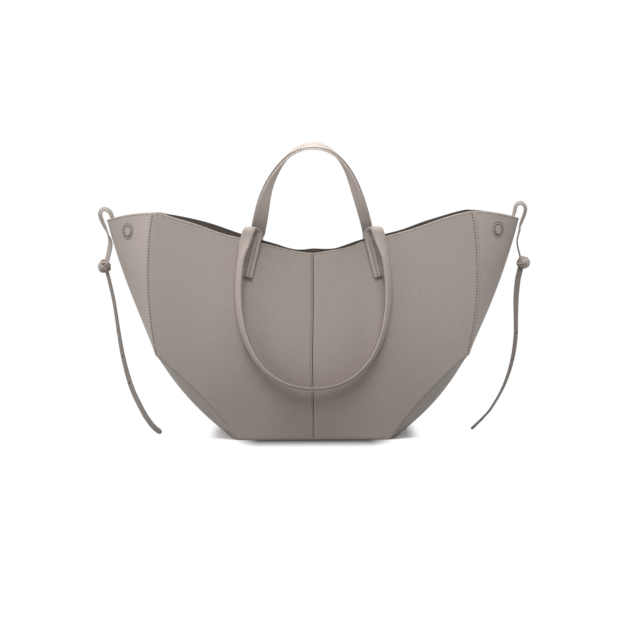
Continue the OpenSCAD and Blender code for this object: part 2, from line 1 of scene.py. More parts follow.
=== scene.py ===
import bmesh
import bpy
import numpy as np
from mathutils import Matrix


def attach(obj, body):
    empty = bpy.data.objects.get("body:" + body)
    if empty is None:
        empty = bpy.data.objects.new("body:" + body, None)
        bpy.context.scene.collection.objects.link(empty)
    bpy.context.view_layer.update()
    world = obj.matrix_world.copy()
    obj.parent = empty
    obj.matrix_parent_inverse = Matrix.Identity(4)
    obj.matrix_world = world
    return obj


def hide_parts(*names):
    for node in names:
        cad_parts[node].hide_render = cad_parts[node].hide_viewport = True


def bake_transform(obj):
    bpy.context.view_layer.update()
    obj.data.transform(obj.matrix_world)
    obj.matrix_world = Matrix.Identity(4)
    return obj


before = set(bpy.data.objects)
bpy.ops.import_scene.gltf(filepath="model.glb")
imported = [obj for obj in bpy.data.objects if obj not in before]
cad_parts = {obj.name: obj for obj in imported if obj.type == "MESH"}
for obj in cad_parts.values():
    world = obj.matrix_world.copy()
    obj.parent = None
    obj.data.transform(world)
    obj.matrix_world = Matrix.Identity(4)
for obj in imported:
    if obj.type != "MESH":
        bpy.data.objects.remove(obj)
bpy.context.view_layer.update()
scene = bpy.context.scene


# Camera of the photograph: level with the handle's apex, far off, aimed slightly down at the bag.
# The scale and the aim were measured from the photograph.
VIEW_D, VIEW_Z, VIEW_X = 2.2, 0.3, -0.0033
AIM_Z, ROLL = 0.1467, np.radians(0.25)
PHOTO_SIDE, PIXEL = 620, 0.001196
camera_data = bpy.data.cameras.new("photo camera")
camera_data.sensor_width = 36
camera_data.lens = 36 * VIEW_D / (PHOTO_SIDE * PIXEL)
camera = bpy.data.objects.new("photo camera", camera_data)
camera.location = (VIEW_X, -VIEW_D, VIEW_Z)
camera.rotation_euler = (np.pi / 2 - np.arctan2(VIEW_Z - AIM_Z, VIEW_D), ROLL, 0)
scene.collection.objects.link(camera)
scene.camera = camera
scene.view_settings.view_transform = "Standard"


# The floor: one white sheet. To the camera it is lit paper only close round the base, where the short
# shadow of the photograph lies, and fades into the white of the room; to the object it is pale paper.
# Close round the base the paper seen by the camera also darkens towards the foot of the bag: a painted
# contact shadow over the real one.
MM = 0.001
FLOOR_HALF, FLOOR_PALE, SHADOW_WHITE = 6.0, 0.36, 1.15
FOOT_HALF, FOOT_FADE = (0.062, 0.071), (0.055, 0.125)
# The darkest colour of the painted contact shadow, and how its darkening falls off.
PAINTED_SHADOW, PAINTED_SHADOW_POWER = 0.06, 0.8
WHITE_FROM, WHITE_TO = 0.85, 1.2


class Wire:
    """A shader socket that takes part in sums: each operator adds the Math node for it."""

    def __init__(self, shader, socket):
        self.shader, self.socket = shader, socket

    def math(self, operation, *others):
        """This socket and others, joined by one operation."""
        return self.shader.node("ShaderNodeMath", {"operation": operation}, self, *others)

    def __add__(self, other):
        return self.math("ADD", other)

    def __sub__(self, other):
        return self.math("SUBTRACT", other)

    def __mul__(self, other):
        return self.math("MULTIPLY", other)

    def __pow__(self, other):
        return self.math("POWER", other)

    def at_least(self, other):
        """The larger of this socket and another."""
        return self.math("MAXIMUM", other)

    def at_most(self, other):
        """The smaller of this socket and another."""
        return self.math("MINIMUM", other)


class Shader:
    """A material whose nodes are added one call at a time."""

    def __init__(self, name):
        self.material = bpy.data.materials.new(name)
        self.material.use_nodes = True
        self.tree = self.material.node_tree
        self.tree.nodes.clear()
        self.output = self.tree.nodes.new("ShaderNodeOutputMaterial")

    def node(self, kind, settings=None, *values, out=0, **named):
        """One node: its settings, then the values or links of its sockets by place or by name."""
        made = self.tree.nodes.new(kind)
        for key, value in (settings or {}).items():
            setattr(made, key, value)
        pairs = [(made.inputs[i], v) for i, v in enumerate(values)]
        pairs += [(made.inputs[key.replace("_", " ")], v) for key, v in named.items()]
        for socket, value in pairs:
            if isinstance(value, Wire):
                self.tree.links.new(value.socket, socket)
            else:
                socket.default_value = value
        return Wire(self, made.outputs[out])

    def mix(self, factor, a, b):
        """Colour a where the factor is 0 and colour b where it is 1."""
        made = self.tree.nodes.new("ShaderNodeMix")
        made.data_type = "RGBA"
        for socket, value in ((made.inputs[0], factor), (made.inputs[6], a), (made.inputs[7], b)):
            if isinstance(value, Wire):
                self.tree.links.new(value.socket, socket)
            else:
                colour = isinstance(value, tuple) and len(value) == 3
                socket.default_value = (*value, 1) if colour else value
        return Wire(self, made.outputs[2])

    def finish(self, surface):
        """Joins the surface to the output and gives the material."""
        self.tree.links.new(surface.socket, self.output.inputs["Surface"])
        return self.material


def place_on(piece):
    """Object coordinates of the surface, in metres."""
    return piece.node("ShaderNodeTexCoord", out=3)


def mesh_piece(name, points, faces):
    """A new object from points in millimetres and faces as an index array or lists."""
    mesh = bpy.data.meshes.new(name)
    corners = faces if isinstance(faces, list) else faces.tolist()
    mesh.from_pydata((np.asarray(points) * MM).tolist(), [], corners)
    mesh.update()
    mesh.shade_smooth()
    piece = bpy.data.objects.new(name, mesh)
    scene.collection.objects.link(piece)
    return piece


square = np.array([(-1, -1, 0), (1, -1, 0), (1, 1, 0), (-1, 1, 0)]) * FLOOR_HALF / MM
floor = mesh_piece("floor", square, [[0, 1, 2, 3]])
paper = Shader("white paper")
seen_by_camera, seen_in_gloss = (paper.node("ShaderNodeLightPath", out=k) for k in (0, 3))
shown = seen_by_camera.at_least(seen_in_gloss)
axes = [paper.node("ShaderNodeSeparateXYZ", None, place_on(paper), out=k) for k in (0, 1)]
beyond = [(axis.math("ABSOLUTE") - half).at_least(0.0) * (1 / fade)
          for axis, half, fade in zip(axes, FOOT_HALF, FOOT_FADE)]
reach = (beyond[0] ** 2.0 + beyond[1] ** 2.0) ** 0.5
soft = {"interpolation_type": "SMOOTHSTEP"}
whitening = paper.node("ShaderNodeMapRange", soft, reach, WHITE_FROM, WHITE_TO)
# Painted contact shadow: the paper seen by the camera darkens towards the foot of the base.
painted_shadow = paper.node("ShaderNodeMapRange", soft, reach ** PAINTED_SHADOW_POWER, 0.0, 1.0)
near = paper.mix(painted_shadow, (PAINTED_SHADOW,) * 3, (SHADOW_WHITE,) * 3)
lit = paper.node("ShaderNodeBsdfDiffuse", None, paper.mix(shown, (FLOOR_PALE,) * 3, near))
white = paper.node("ShaderNodeEmission", None, (1, 1, 1, 1), 1.0)
faded = paper.node("ShaderNodeMixShader", None, whitening * shown, lit, white)
floor.data.materials.append(paper.finish(faded))


# Studio light: an even pale room, white where it is seen, and soft lamps round the bag, the strongest
# above and before it. One more lights only the rear handle, whose under side faces the camera, for
# the light that a pale table throws up.
ROOM_LIGHT, LAMP_AIM = 0.1, (0, 0, 0.15)
room = bpy.data.worlds.new("white room")
scene.world = room
room.use_nodes = True
sky = room.node_tree.nodes
seen = sky.new("ShaderNodeLightPath")
either = sky.new("ShaderNodeMath")
either.operation = "MAXIMUM"
level = sky.new("ShaderNodeMapRange")
level.inputs["To Min"].default_value = ROOM_LIGHT
level.inputs["To Max"].default_value = 1.0
sky["Background"].inputs["Color"].default_value = (1, 1, 1, 1)
wires = room.node_tree.links
wires.new(seen.outputs["Is Camera Ray"], either.inputs[0])
wires.new(seen.outputs["Is Glossy Ray"], either.inputs[1])
wires.new(either.outputs[0], level.inputs["Value"])
wires.new(level.outputs[0], sky["Background"].inputs["Strength"])


def lamp(name, place, aim, size, watts):
    """A square area lamp at a place, turned to its aim, sizes in metres."""
    data = bpy.data.lights.new(name, "AREA")
    data.shape, data.size, data.energy = "SQUARE", size, watts
    standing = bpy.data.objects.new(name, data)
    x, y, z = np.subtract(aim, place)
    standing.location = place
    standing.rotation_euler = (np.arctan2(np.hypot(x, y), -z), 0, np.arctan2(-x, y))
    scene.collection.objects.link(standing)
    return standing


for name, place, size, watts in (
        ("low left soft lamp", (-2.2, -1.2, 0.6), 1.1, 9),
        ("high left soft lamp", (-2.4, -0.2, 1.5), 1.1, 32),
        ("high right soft lamp", (2.4, -0.2, 1.5), 1.1, 22),
        ("front soft lamp", (0, -1.2, 2.2), 1.5, 43),
        ("top soft lamp", (0, -0.3, 2.4), 1.6, 24),
        ("back soft lamp", (0, 1.6, 2.0), 1.2, 16)):
    lamp(name, place, LAMP_AIM, size, watts)
under_handle = bpy.data.collections.new("under side of the rear handle")
handle_fill = lamp("handle fill", (0, -2.0, 0.25), (0, 0, 0.28), 0.9, 70)
handle_fill.light_linking.receiver_collection = under_handle


# Front and back panels. Each is two pieces of taupe leather with a fine matte grain, joined by a
# lapped seam down the middle. The front hangs in shallow folds below the handle tabs.
SKIN, LINING, ROOM, FACING = 1.8, 0.7, 1.8, 1.0
LINING_D, SEAM_GAP = SKIN + ROOM, 0.2

# The bag stands in a boat shape on its flat base, in millimetres: b is a height, 0 at the base, FOOT_B
# at the crease and the foot of the wings, and 1 at the rim. These formulas place every piece.
BASE_W, BASE_D = 177.0, 145.0
FOOT_X, FOOT_Z, FOOT_B = 182.0, 99.0, 0.42
RIM_HALF, RIM_HIGH, RIM_LOW = 188.0, 264.0, 218.0
TIP_X, TIP_Z = 246.0, 256.0
MOUTH_MID, MOUTH_SIDE = 92.0, 96.0
BELLY, SEAM_BOW, RIDGE_BOW = 8.0, 8.0, 5.0
BASE_BULGE, FOOT_BULGE, FACET_BULGE, CREASE_SAG = 15.0, 5.6, 8.0, 5.0
FOOT_ROUND, TIP_ROUND, TIP_FROM = 1.2, 0.12, 0.9
LEVEL_FROM, LEVEL_RUN, OPEN_RUN = 0.8, 0.2, 0.1
FACET_RUN = np.array([FOOT_X - BASE_W / 2, FOOT_Z])
FACET_OUT = np.array([FACET_RUN[1], -FACET_RUN[0]]) / np.linalg.norm(FACET_RUN)


def lerp(a, b, t):
    """From a to b as t goes from 0 to 1."""
    return a + (b - a) * t


def share(t):
    """t, kept from 0 to 1."""
    return np.clip(t, 0, 1)


def smooth(t):
    """A soft step from 0 to 1: three t squared less two t cubed."""
    t = share(t)
    return t * t * (3 - 2 * t)


def dome(t):
    """A parabola, 1 half way and 0 at both ends."""
    return 4 * t * (1 - t)


def unit(v):
    """Directions brought to length 1."""
    return v / np.maximum(np.linalg.norm(v, axis=-1, keepdims=True), 1e-12)


def rim_z(x):
    """Height of the rim of a panel: a soft dip in the middle."""
    u = np.minimum(1, np.abs(x) / RIM_HALF)
    return lerp(RIM_LOW, RIM_HIGH, 0.5 * smooth(u) + 0.3 * u + 0.2 * u * u)


def half_depth(x, z):
    """Half depth of the bag: base to mouth as the square of the height, plus a sine bulge."""
    v = share(z / rim_z(x))
    u = np.minimum(1, np.abs(x) / RIM_HALF)
    straight = lerp(BASE_D / 2, lerp(MOUTH_MID, MOUTH_SIDE, u) / 2, v * v)
    return straight + BELLY * np.sin(np.pi * v**0.8) ** 2 * (1 - 0.6 * u * u)


def rise(b):
    """Share of the way up the facet, and share of the way up the wing, of a height b."""
    return share(b / FOOT_B), share((b - FOOT_B) / (1 - FOOT_B))


def edge(b):
    """Edge of a panel in the XZ plane: level base, sagging crease, bowed side seam."""
    b = np.asarray(b, float)
    low, high = rise(b)
    sag = FACET_OUT * CREASE_SAG * dome(low)[..., None]
    facet = np.array([BASE_W / 2, 0]) + FACET_RUN * low[..., None] - sag
    seam = np.stack([lerp(FOOT_X, RIM_HALF, high) + SEAM_BOW * dome(high), lerp(FOOT_Z, RIM_HIGH, high)], -1)
    base = np.stack([BASE_W / 2 + 100 * b, 0 * b], -1)
    return np.where((b < 0)[..., None], base, np.where((b <= FOOT_B)[..., None], facet, seam))


def ridge(b):
    """Middle of the side strip in the XZ plane: level base, bulged facet, bowed fold of the wing."""
    b = np.asarray(b, float)
    end, foot = BASE_W / 2 + BASE_BULGE, FOOT_X + FOOT_BULGE
    low, high = rise(b)
    bulge = FACET_OUT * FACET_BULGE * dome(low)[..., None]
    facet = np.stack([lerp(end, foot, low), FOOT_Z * low], -1) + bulge
    fold = np.stack([lerp(foot, TIP_X, high) + RIDGE_BOW * dome(high), lerp(FOOT_Z, TIP_Z, high)], -1)
    base = np.stack([end + 100 * b, 0 * b], -1)
    return np.where((b < 0)[..., None], base, np.where((b <= FOOT_B)[..., None], facet, fold))


def inset(line, b, step=0.01):
    """Mitred inward direction of such a line, made level at the rim."""
    p, q, r = line(b - step), line(b), line(b + step)
    m, n = unit(q - p), unit(r - q)
    m, n = np.stack([m[..., 1], -m[..., 0]], -1), np.stack([n[..., 1], -n[..., 0]], -1)
    both = (m + n) / (1 + (m * n).sum(-1))[..., None]
    both[..., 1] *= 1 - share((b - LEVEL_FROM) / LEVEL_RUN)
    return both


def wing_angle(b):
    """Angle of a wing to the long side: square at its foot, and above it the slope of its strip."""
    high = np.maximum(b, FOOT_B)
    s = edge(high)
    opening = np.arctan2(half_depth(s[..., 0], s[..., 1]), ridge(high)[..., 0] - s[..., 0])
    return np.pi / 2 - (np.pi / 2 - opening) * share((b - FOOT_B) / OPEN_RUN)


def edge_in(b, d):
    """A panel's edge, d inside the leather: moved by d times the tangent of half the wing's angle."""
    return edge(b) - (d * np.tan(wing_angle(b) / 2))[..., None] * inset(edge, b)


def ridge_in(b, d):
    """The wing's fold, d inside the leather: moved by d over the sine of the wing's angle."""
    return ridge(b) - (d / np.sin(wing_angle(b)))[..., None] * inset(ridge, b)


def fold_round(b):
    """Roundness of the fold: wide at its foot, and sharper up the tip by a square root."""
    return lerp(FOOT_ROUND, TIP_ROUND, np.sqrt(share((b - FOOT_B) / (TIP_FROM - FOOT_B))))


def fold_share(w, e):
    """Share of the way out to the fold: a rounded wedge with e as its roundness."""
    top = np.sqrt(1 + e * e)
    return (top - np.sqrt(w * w + e * e)) / (top - e)


def front_point(a, b, d):
    """Front panel, a across from -1 to 1, b from base to rim, d deep. The back is its mirror."""
    s, u = edge_in(b, d), np.abs(a)
    x = a * (s[..., 0] - SEAM_GAP / 2)
    z = lerp(lerp(d, RIM_LOW, b), s[..., 1], u) + b**3 * (rim_z(u * RIM_HALF) - lerp(RIM_LOW, RIM_HIGH, u))
    z = z + (1 - b) * SEAM_GAP / 2
    return np.stack([x, -(half_depth(x, z) - d), z], -1)


def side_point(b, w, d):
    """Right side strip, w from -1 at the front seam to 1 at the back seam, b up, d deep."""
    s, m, g = edge_in(b, d), ridge_in(b, d), fold_share(w, fold_round(b))
    y = w * (half_depth(s[..., 0], s[..., 1]) - d - SEAM_GAP / 2)
    crown = (RIM_HIGH - TIP_Z) * g * (1 - g) * b**8
    return np.stack([lerp(s[..., 0], m[..., 0], g), y, lerp(s[..., 1], m[..., 1], g) + crown], -1)


def base_point(a, w, d):
    """Flat base, a along and w across, both from -1 to 1, d deep."""
    zero = np.zeros_like(w)
    ends = lerp(edge_in(zero, d)[..., 0], ridge_in(zero, d)[..., 0], fold_share(w, fold_round(zero)))
    x = a * ends
    return np.stack([x, w * (half_depth(x, d + 0 * x) - d - SEAM_GAP / 2), d + 0 * x], -1)


def grid_faces(n, m, wrap=False):
    """Quads of an n by m grid of points, joined round its second direction if it wraps."""
    i, j = np.meshgrid(np.arange(n - 1), np.arange(m if wrap else m - 1), indexing="ij")
    k = (j + 1) % m
    return np.stack([i * m + j, (i + 1) * m + j, (i + 1) * m + k, i * m + k], -1).reshape(-1, 4)


def sheet_piece(name, outer, inner, round_edge=0.45):
    """A closed sheet between two grids of points, with its cut edges rounded."""
    n, m = outer.shape[:2]
    k = n * m
    top = grid_faces(n, m)
    rim = np.concatenate([np.arange(m), np.arange(1, n) * m + m - 1,
                          (n - 1) * m + np.arange(m - 2, -1, -1), np.arange(n - 2, 0, -1) * m])
    after = np.roll(rim, -1)
    wall = np.stack([rim, after, after + k, rim + k], -1)
    faces = np.concatenate([top, top[:, ::-1] + k, wall])
    piece = mesh_piece(name, np.concatenate([outer.reshape(-1, 3), inner.reshape(-1, 3)]), faces)
    if round_edge:
        bevel = piece.modifiers.new("rounded edge", "BEVEL")
        bevel.width, bevel.segments, bevel.angle_limit = round_edge * MM, 2, np.radians(50)
    return piece


def flip(points, x=1, y=1):
    """Points mirrored left to right where x is -1, and front to back where y is -1."""
    return points * np.array([x, y, 1])


GRAIN_CELLS, GRAIN_WRINKLES, TONE_CLOUDS, GRAIN_DEPTH = 820.0, 260.0, 11.0, 0.00012


def leather(name, light, dark, grain=1.0, rough=0.56):
    """Grained leather: rounded cells and fine wrinkles in the bump, a cloudy tone, and darker
    valleys between the cells."""
    s = Shader(name)
    where = place_on(s)
    rounded = {"feature": "SMOOTH_F1"}
    cells = s.node("ShaderNodeTexVoronoi", rounded, Vector=where, Scale=GRAIN_CELLS, Smoothness=0.6)
    wrinkle = s.node("ShaderNodeTexNoise", None, Vector=where, Scale=GRAIN_WRINKLES, Detail=4.0,
                     Roughness=0.6)
    cloud = s.node("ShaderNodeTexNoise", None, Vector=where, Scale=TONE_CLOUDS, Detail=3.0, Roughness=0.5)
    tone = s.mix((cloud * 0.7 + wrinkle * 0.5 - 0.35).at_least(0.0).at_most(1.0), dark, light)
    valley = s.mix(cells * 0.9 * grain, tone, tuple(0.8 * c for c in dark))
    height = (wrinkle * 0.6 - cells) * grain
    bump = s.node("ShaderNodeBump", None, Strength=0.55, Distance=GRAIN_DEPTH, Height=height)
    return s.finish(s.node("ShaderNodeBsdfPrincipled", None, Base_Color=valley, Normal=bump,
                           Specular_IOR_Level=0.3, Roughness=cells * 0.12 + (rough - 0.03)))


SHELL_LIGHT, SHELL_DARK = (0.395, 0.345, 0.312), (0.345, 0.3, 0.27)
shell_leather = leather("shell leather", SHELL_LIGHT, SHELL_DARK)
PANEL_ROWS, FACET_ROWS, PANEL_COLUMNS, MIDDLE_GAP = 64, 26, 72, 0.002


def closed(piece):
    """Turns the faces of a closed piece outwards."""
    work = bmesh.new()
    work.from_mesh(piece.data)
    bmesh.ops.recalc_face_normals(work, faces=work.faces)
    work.to_mesh(piece.data)
    work.free()
    return piece


def dress(piece, body, slot, *nodes, material=None):
    """Puts a piece on its body, gives it its material and hides the CAD nodes that it stands for; the slot
    is not used.
    """
    if material is not None:
        piece.data.materials.append(material)
    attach(piece, body)
    if nodes:
        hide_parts(*nodes)


def hill(x, centre, width):
    """A hump of height 1: e to the minus square of the distance over the width."""
    return np.exp(-(((x - centre) / width) ** 2))


def hills(x, humps):
    """A sum of humps, each with its height, its place and its width."""
    return sum(height * hill(x, centre, width) for height, centre, width in humps)


# Soft folds of the panels and soft waves of the rim: height, place across the bag, and width.
FRONT_FOLDS = ((1.1, -31, 20), (1.0, 24, 18), (-1.3, -66, 13), (-1.2, 62, 13),
               (0.8, -104, 16), (0.7, 108, 18), (-0.9, -140, 18), (-0.8, 146, 18))
BACK_FOLDS = ((1.0, 40, 26), (-1.2, -70, 24), (0.9, -118, 20), (-0.8, 120, 26))
FRONT_RIM = ((1.9, -179, 12), (-2.3, -106, 26), (-1.4, -6, 26), (-0.8, 38, 12),
             (2.0, 60, 9), (-1.0, 116, 20), (1.7, 176, 30))
BACK_RIM = ((1.8, -126, 30), (-0.5, -179, 12), (-2.6, -24, 17), (-2.3, 26, 14),
            (1.4, 0, 7), (1.0, 58, 10), (-1.7, 108, 20), (1.6, 186, 26))
RIM_FROM = 0.7
LEAN, LEAN_Z, LEAN_SPREAD = 1.3, 92, 40


def front_drape(x, z):
    """How far the front stands out of its formula: shallow folds that fade at base and rim."""
    v = share(z / rim_z(x))
    fade = np.sin(np.pi * share(v * 0.98 + 0.01)) ** 0.7
    return hills(x, FRONT_FOLDS) * fade


def back_drape(x, z):
    """The same for the back, whose folds are fewer."""
    v = share(z / rim_z(x))
    return hills(x, BACK_FOLDS) * np.sin(np.pi * share(v)) ** 0.8


def rim_lift(x, back):
    """How far the soft rim stands above its formula, in the front and in the back."""
    return hills(x, BACK_RIM if back else FRONT_RIM)


def rim_reach(b):
    """How much of the lift of the rim a height takes part in: a soft step up to the rim."""
    return smooth((b - RIM_FROM) / (1 - RIM_FROM))


def settle(p):
    """The photographed bag leans a little to the left about the height of its creases."""
    p[..., 0] -= LEAN * hill(p[..., 2], LEAN_Z, LEAN_SPREAD)
    return p


def panel_point(a, b, d, back=False):
    """A point of a panel in place: its formula, its folds, the lift of its rim and the lean."""
    p = front_point(a, b, d)
    out = (back_drape if back else front_drape)(p[..., 0], p[..., 2]) * (1 - np.abs(a) ** 6)
    p[..., 1] -= out
    p[..., 2] += rim_lift(p[..., 0], back) * rim_reach(b)
    return settle(flip(p, 1, -1) if back else p)


def wing_point(b, w, d, hand, back=1):
    """A side strip in place: hand is -1 for the left one, back is -1 to mirror front and back."""
    p = flip(side_point(b, w, d), hand, back)
    in_back = p[..., 1] > 0
    lift = np.where(in_back, rim_lift(hand * RIM_HALF, True), rim_lift(hand * RIM_HALF, False))
    p[..., 2] += lift * np.abs(w) * rim_reach(b)
    return settle(p)


facet_rows = np.linspace(0, FOOT_B, FACET_ROWS)
rows = np.concatenate([facet_rows, np.linspace(FOOT_B, 1, PANEL_ROWS - FACET_ROWS + 1)[1:]])
half = np.linspace(MIDDLE_GAP, 1, PANEL_COLUMNS // 2 + 1)
for face, back in (("front", False), ("back", True)):
    for hand, sign in (("left", -1), ("right", 1)):
        b, a = np.meshgrid(rows, sign * half, indexing="ij")
        outer, inner = panel_point(a, b, 0, back), panel_point(a, b, SKIN, back)
        panel = sheet_piece(f"{face}_leather_{hand}", outer, inner)
        dress(closed(panel), "bag", "body_leather", f"{face}_panel_{hand}", material=shell_leather)


# Wings: one strip of the same leather at each side, made a little lighter: painted light, for the light
# that the wings catch from the sides. It is folded outwards down its middle from the foot of the wing to
# the tip, and sewn to both panels.
WING_ROWS, WING_COLUMNS, CREASE_GAP = 52, 48, 0.0005
# A lighter copy of the shell leather: painted light on the wings and their magnet discs.
wing_painted_light_leather = leather("wing leather with painted light", (0.43, 0.376, 0.342), (0.39, 0.339, 0.307))


def fold_columns(n, power=1.35):
    """Shares across a side strip, closer together at the fold."""
    t = np.linspace(-1, 1, n)
    return np.sign(t) * np.abs(t) ** power


for hand, sign in (("left", -1), ("right", 1)):
    rise_of_wing = np.linspace(FOOT_B + CREASE_GAP, 1, WING_ROWS)
    b, w = np.meshgrid(rise_of_wing, fold_columns(WING_COLUMNS + 1), indexing="ij")
    wing = sheet_piece(f"wing_{hand}", wing_point(b, w, 0, sign), wing_point(b, w, SKIN, sign))
    dress(closed(wing), "bag", "body_leather", f"gusset_{hand}", material=wing_painted_light_leather)


# Base: one strip of leather that runs from the foot of one wing over the bottom to the other.
# Its two ends stand as slanted facets, creased along their sides.
BASE_ROWS, BASE_ALONG = 28, 40


def base_grid(d):
    """The base strip, d deep: down the left facet, along the flat bottom, and up the right facet."""
    facet = np.linspace(FOOT_B - CREASE_GAP, 0, BASE_ROWS)
    w = fold_columns(WING_COLUMNS + 1, 1.0)
    b, across = np.meshgrid(facet, w, indexing="ij")
    right = side_point(b, across, d)
    a, across = np.meshgrid(np.linspace(-1, 1, BASE_ALONG + 1)[1:-1], w, indexing="ij")
    return settle(np.concatenate([flip(right, -1), base_point(a, across, d), right[::-1]]))


base = sheet_piece("base_leather", base_grid(0), base_grid(SKIN))
dress(closed(base), "bag", "body_leather", "base_panel", material=shell_leather)


# Lining: thin dark woven fabric inside, in five pieces cut as the leather is. It hangs a little
# clear of the leather and is sewn to the facing.
FACING_B, CLOTH_FOOT_ROWS, CLOTH_ROWS, CLOTH_SIDE_ROWS = 0.87, 20, 26, 34
CLOTH_COLUMNS, CLOTH_SIDE_COLUMNS = 49, 33
THREAD_PITCH = 0.0006


def woven(name, light, dark, pitch):
    """Plain weave: two sets of fine waves, a thread's pitch apart in metres, in tone and bump."""
    s = Shader(name)
    where = place_on(s)
    waves = 0.05 / pitch * 6.283
    over = s.node("ShaderNodeTexWave", {"bands_direction": "X"}, Vector=where, Scale=waves, out=1)
    under = s.node("ShaderNodeTexWave", {"bands_direction": "Z"}, Vector=where, Scale=waves, out=1)
    fuzz = s.node("ShaderNodeTexNoise", None, Vector=where, Scale=900.0, Detail=2.0)
    weave = over * 0.5 + under * 0.5
    bump = s.node("ShaderNodeBump", None, Strength=0.4, Distance=0.0001, Height=weave + fuzz * 0.5)
    tone = s.mix((weave * 0.6 + fuzz * 0.4).at_most(1.0), dark, light)
    return s.finish(s.node("ShaderNodeBsdfPrincipled", None, Base_Color=tone, Roughness=0.85, Normal=bump))


def sheets_behind(name, part, material, grid, side_grid, depth, thick, round_edge):
    """The sheets behind both panels and both wings, in grids of rows and columns. Each begins as
    deep behind the outside as depth gives for its height, and ends its thickness deeper."""
    b, a = np.meshgrid(*grid, indexing="ij")
    for face, back in (("front", False), ("back", True)):
        outer, inner = panel_point(a, b, depth(b), back), panel_point(a, b, depth(b) + thick, back)
        sheet = sheet_piece(f"{name}_{face}", outer, inner, round_edge)
        dress(closed(sheet), "bag", part, f"{part}_{face}", material=material)
    b, w = np.meshgrid(*side_grid, indexing="ij")
    for hand, sign in (("left", -1), ("right", 1)):
        outer, inner = wing_point(b, w, depth(b), sign), wing_point(b, w, depth(b) + thick, sign)
        sheet = sheet_piece(f"{name}_{hand}", outer, inner, round_edge)
        dress(closed(sheet), "bag", part, f"{part}_{hand}", material=material)


lining_cloth = woven("lining cloth", (0.115, 0.1, 0.088), (0.07, 0.06, 0.053), THREAD_PITCH)
to_facing = np.linspace(FOOT_B, FACING_B - CREASE_GAP, CLOTH_ROWS)
low_rows = np.concatenate([np.linspace(0, FOOT_B, CLOTH_FOOT_ROWS), to_facing[1:]])
wing_cloth_rows = np.linspace(FOOT_B + CREASE_GAP, FACING_B - CREASE_GAP, CLOTH_SIDE_ROWS)
sheets_behind("lining_cloth", "lining", lining_cloth, (low_rows, np.linspace(-1, 1, CLOTH_COLUMNS)),
              (wing_cloth_rows, fold_columns(CLOTH_SIDE_COLUMNS)), lambda b: LINING_D, LINING, 0)
cloth = sheet_piece("lining_cloth_base", base_grid(LINING_D), base_grid(LINING_D + LINING), 0)
dress(closed(cloth), "bag", "lining", "lining_base", material=lining_cloth)


# Facing: a band of thinner leather inside the mouth. It stands off the shell over the magnets and
# meets it at the rim, where both are sewn together.
RAMP_B, BAND_ROWS, RIM_CLEAR = 0.965, 9, 0.15
facing_leather = leather("facing leather", (0.12, 0.1, 0.086), (0.092, 0.076, 0.065), 0.7, 0.7)


def facing_d(b):
    """Depth of the facing: as deep as the lining, then a soft step out to the shell at the rim."""
    return lerp(LINING_D, SKIN + RIM_CLEAR, smooth((b - RAMP_B) / (1 - RAMP_B)))


lower_band = np.linspace(FACING_B + 0.001, RAMP_B, BAND_ROWS)
band = np.concatenate([lower_band, np.linspace(RAMP_B, 1, BAND_ROWS)[1:]])
sheets_behind("facing_leather", "facing", facing_leather, (band, np.linspace(-1, 1, PANEL_COLUMNS + 1)),
              (band, fold_columns(WING_COLUMNS + 1)), facing_d, FACING, 0.3)


# Base board, magnets and the reinforcement behind the tabs: pieces inside the shell, kept as the
# CAD made them, with the finish of the real thing.
def plain(name, colour, rough, metal=0.0, scratch=0.0):
    """A hard smooth finish with fine wear in its roughness."""
    s = Shader(name)
    where = place_on(s)
    wear = s.node("ShaderNodeTexNoise", None, Vector=where, Scale=300.0, Detail=5.0)
    tone = s.mix(wear, colour, tuple(0.85 * c for c in colour))
    bump = s.node("ShaderNodeBump", None, Strength=0.15, Distance=0.00005, Height=wear)
    return s.finish(s.node("ShaderNodeBsdfPrincipled", None, Base_Color=tone, Normal=bump,
                           Roughness=wear * scratch + rough, Metallic=metal))


WEB_LIGHT, WEB_DARK, WEB_PITCH = (0.2, 0.19, 0.175), (0.13, 0.12, 0.11), 0.0009
hidden_finish = {
    "base_board": plain("board plastic", (0.09, 0.09, 0.092), 0.5, 0.0, 0.2),
    "magnet": plain("magnet nickel", (0.62, 0.61, 0.6), 0.25, 1.0, 0.2),
    "backer": woven("backer web", WEB_LIGHT, WEB_DARK, WEB_PITCH),
}
for name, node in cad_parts.items():
    for word, finish in hidden_finish.items():
        if word in name and "cap" not in name:
            node.data.materials.clear()
            node.data.materials.append(finish)


# Stitches: waxed thread in the colour of the leather, one short slanted stitch after another, each
# pulled into the leather at both ends, with the dark hole of the needle between two of them.
HOLE_SIDES, HOLE_DEEP = 8, 0.3


def thread(name, colour):
    """Waxed thread: fine noise of the twist in its tone and bump."""
    s = Shader(name)
    where = place_on(s)
    twist = s.node("ShaderNodeTexNoise", None, Vector=where, Scale=1500.0, Detail=2.0)
    tone = s.mix(twist, colour, tuple(0.7 * c for c in colour))
    bump = s.node("ShaderNodeBump", None, Strength=0.5, Distance=0.0001, Height=twist)
    return s.finish(s.node("ShaderNodeBsdfPrincipled", None, Base_Color=tone, Roughness=0.6, Normal=bump))


shell_thread = thread("shell thread", (0.33, 0.285, 0.25))
needle_hole = thread("needle hole shadow", (0.03, 0.023, 0.018))


def resample(path, normal, pitch):
    """Points along a polyline at equal steps close to the pitch, with the direction and the normal."""
    steps = np.linalg.norm(np.diff(path, axis=0), axis=1)
    along = np.concatenate([[0], np.cumsum(steps)])
    count = max(2, int(round(along[-1] / pitch)))
    at = (np.arange(count) + 0.5) * along[-1] / count

    def value(of, where):
        """Each coordinate read in a straight line between the points."""
        return np.stack([np.interp(where, along, of[:, k]) for k in range(3)], -1)

    return value(path, at), unit(value(path, at + 0.4) - value(path, at - 0.4)), value(normal, at)


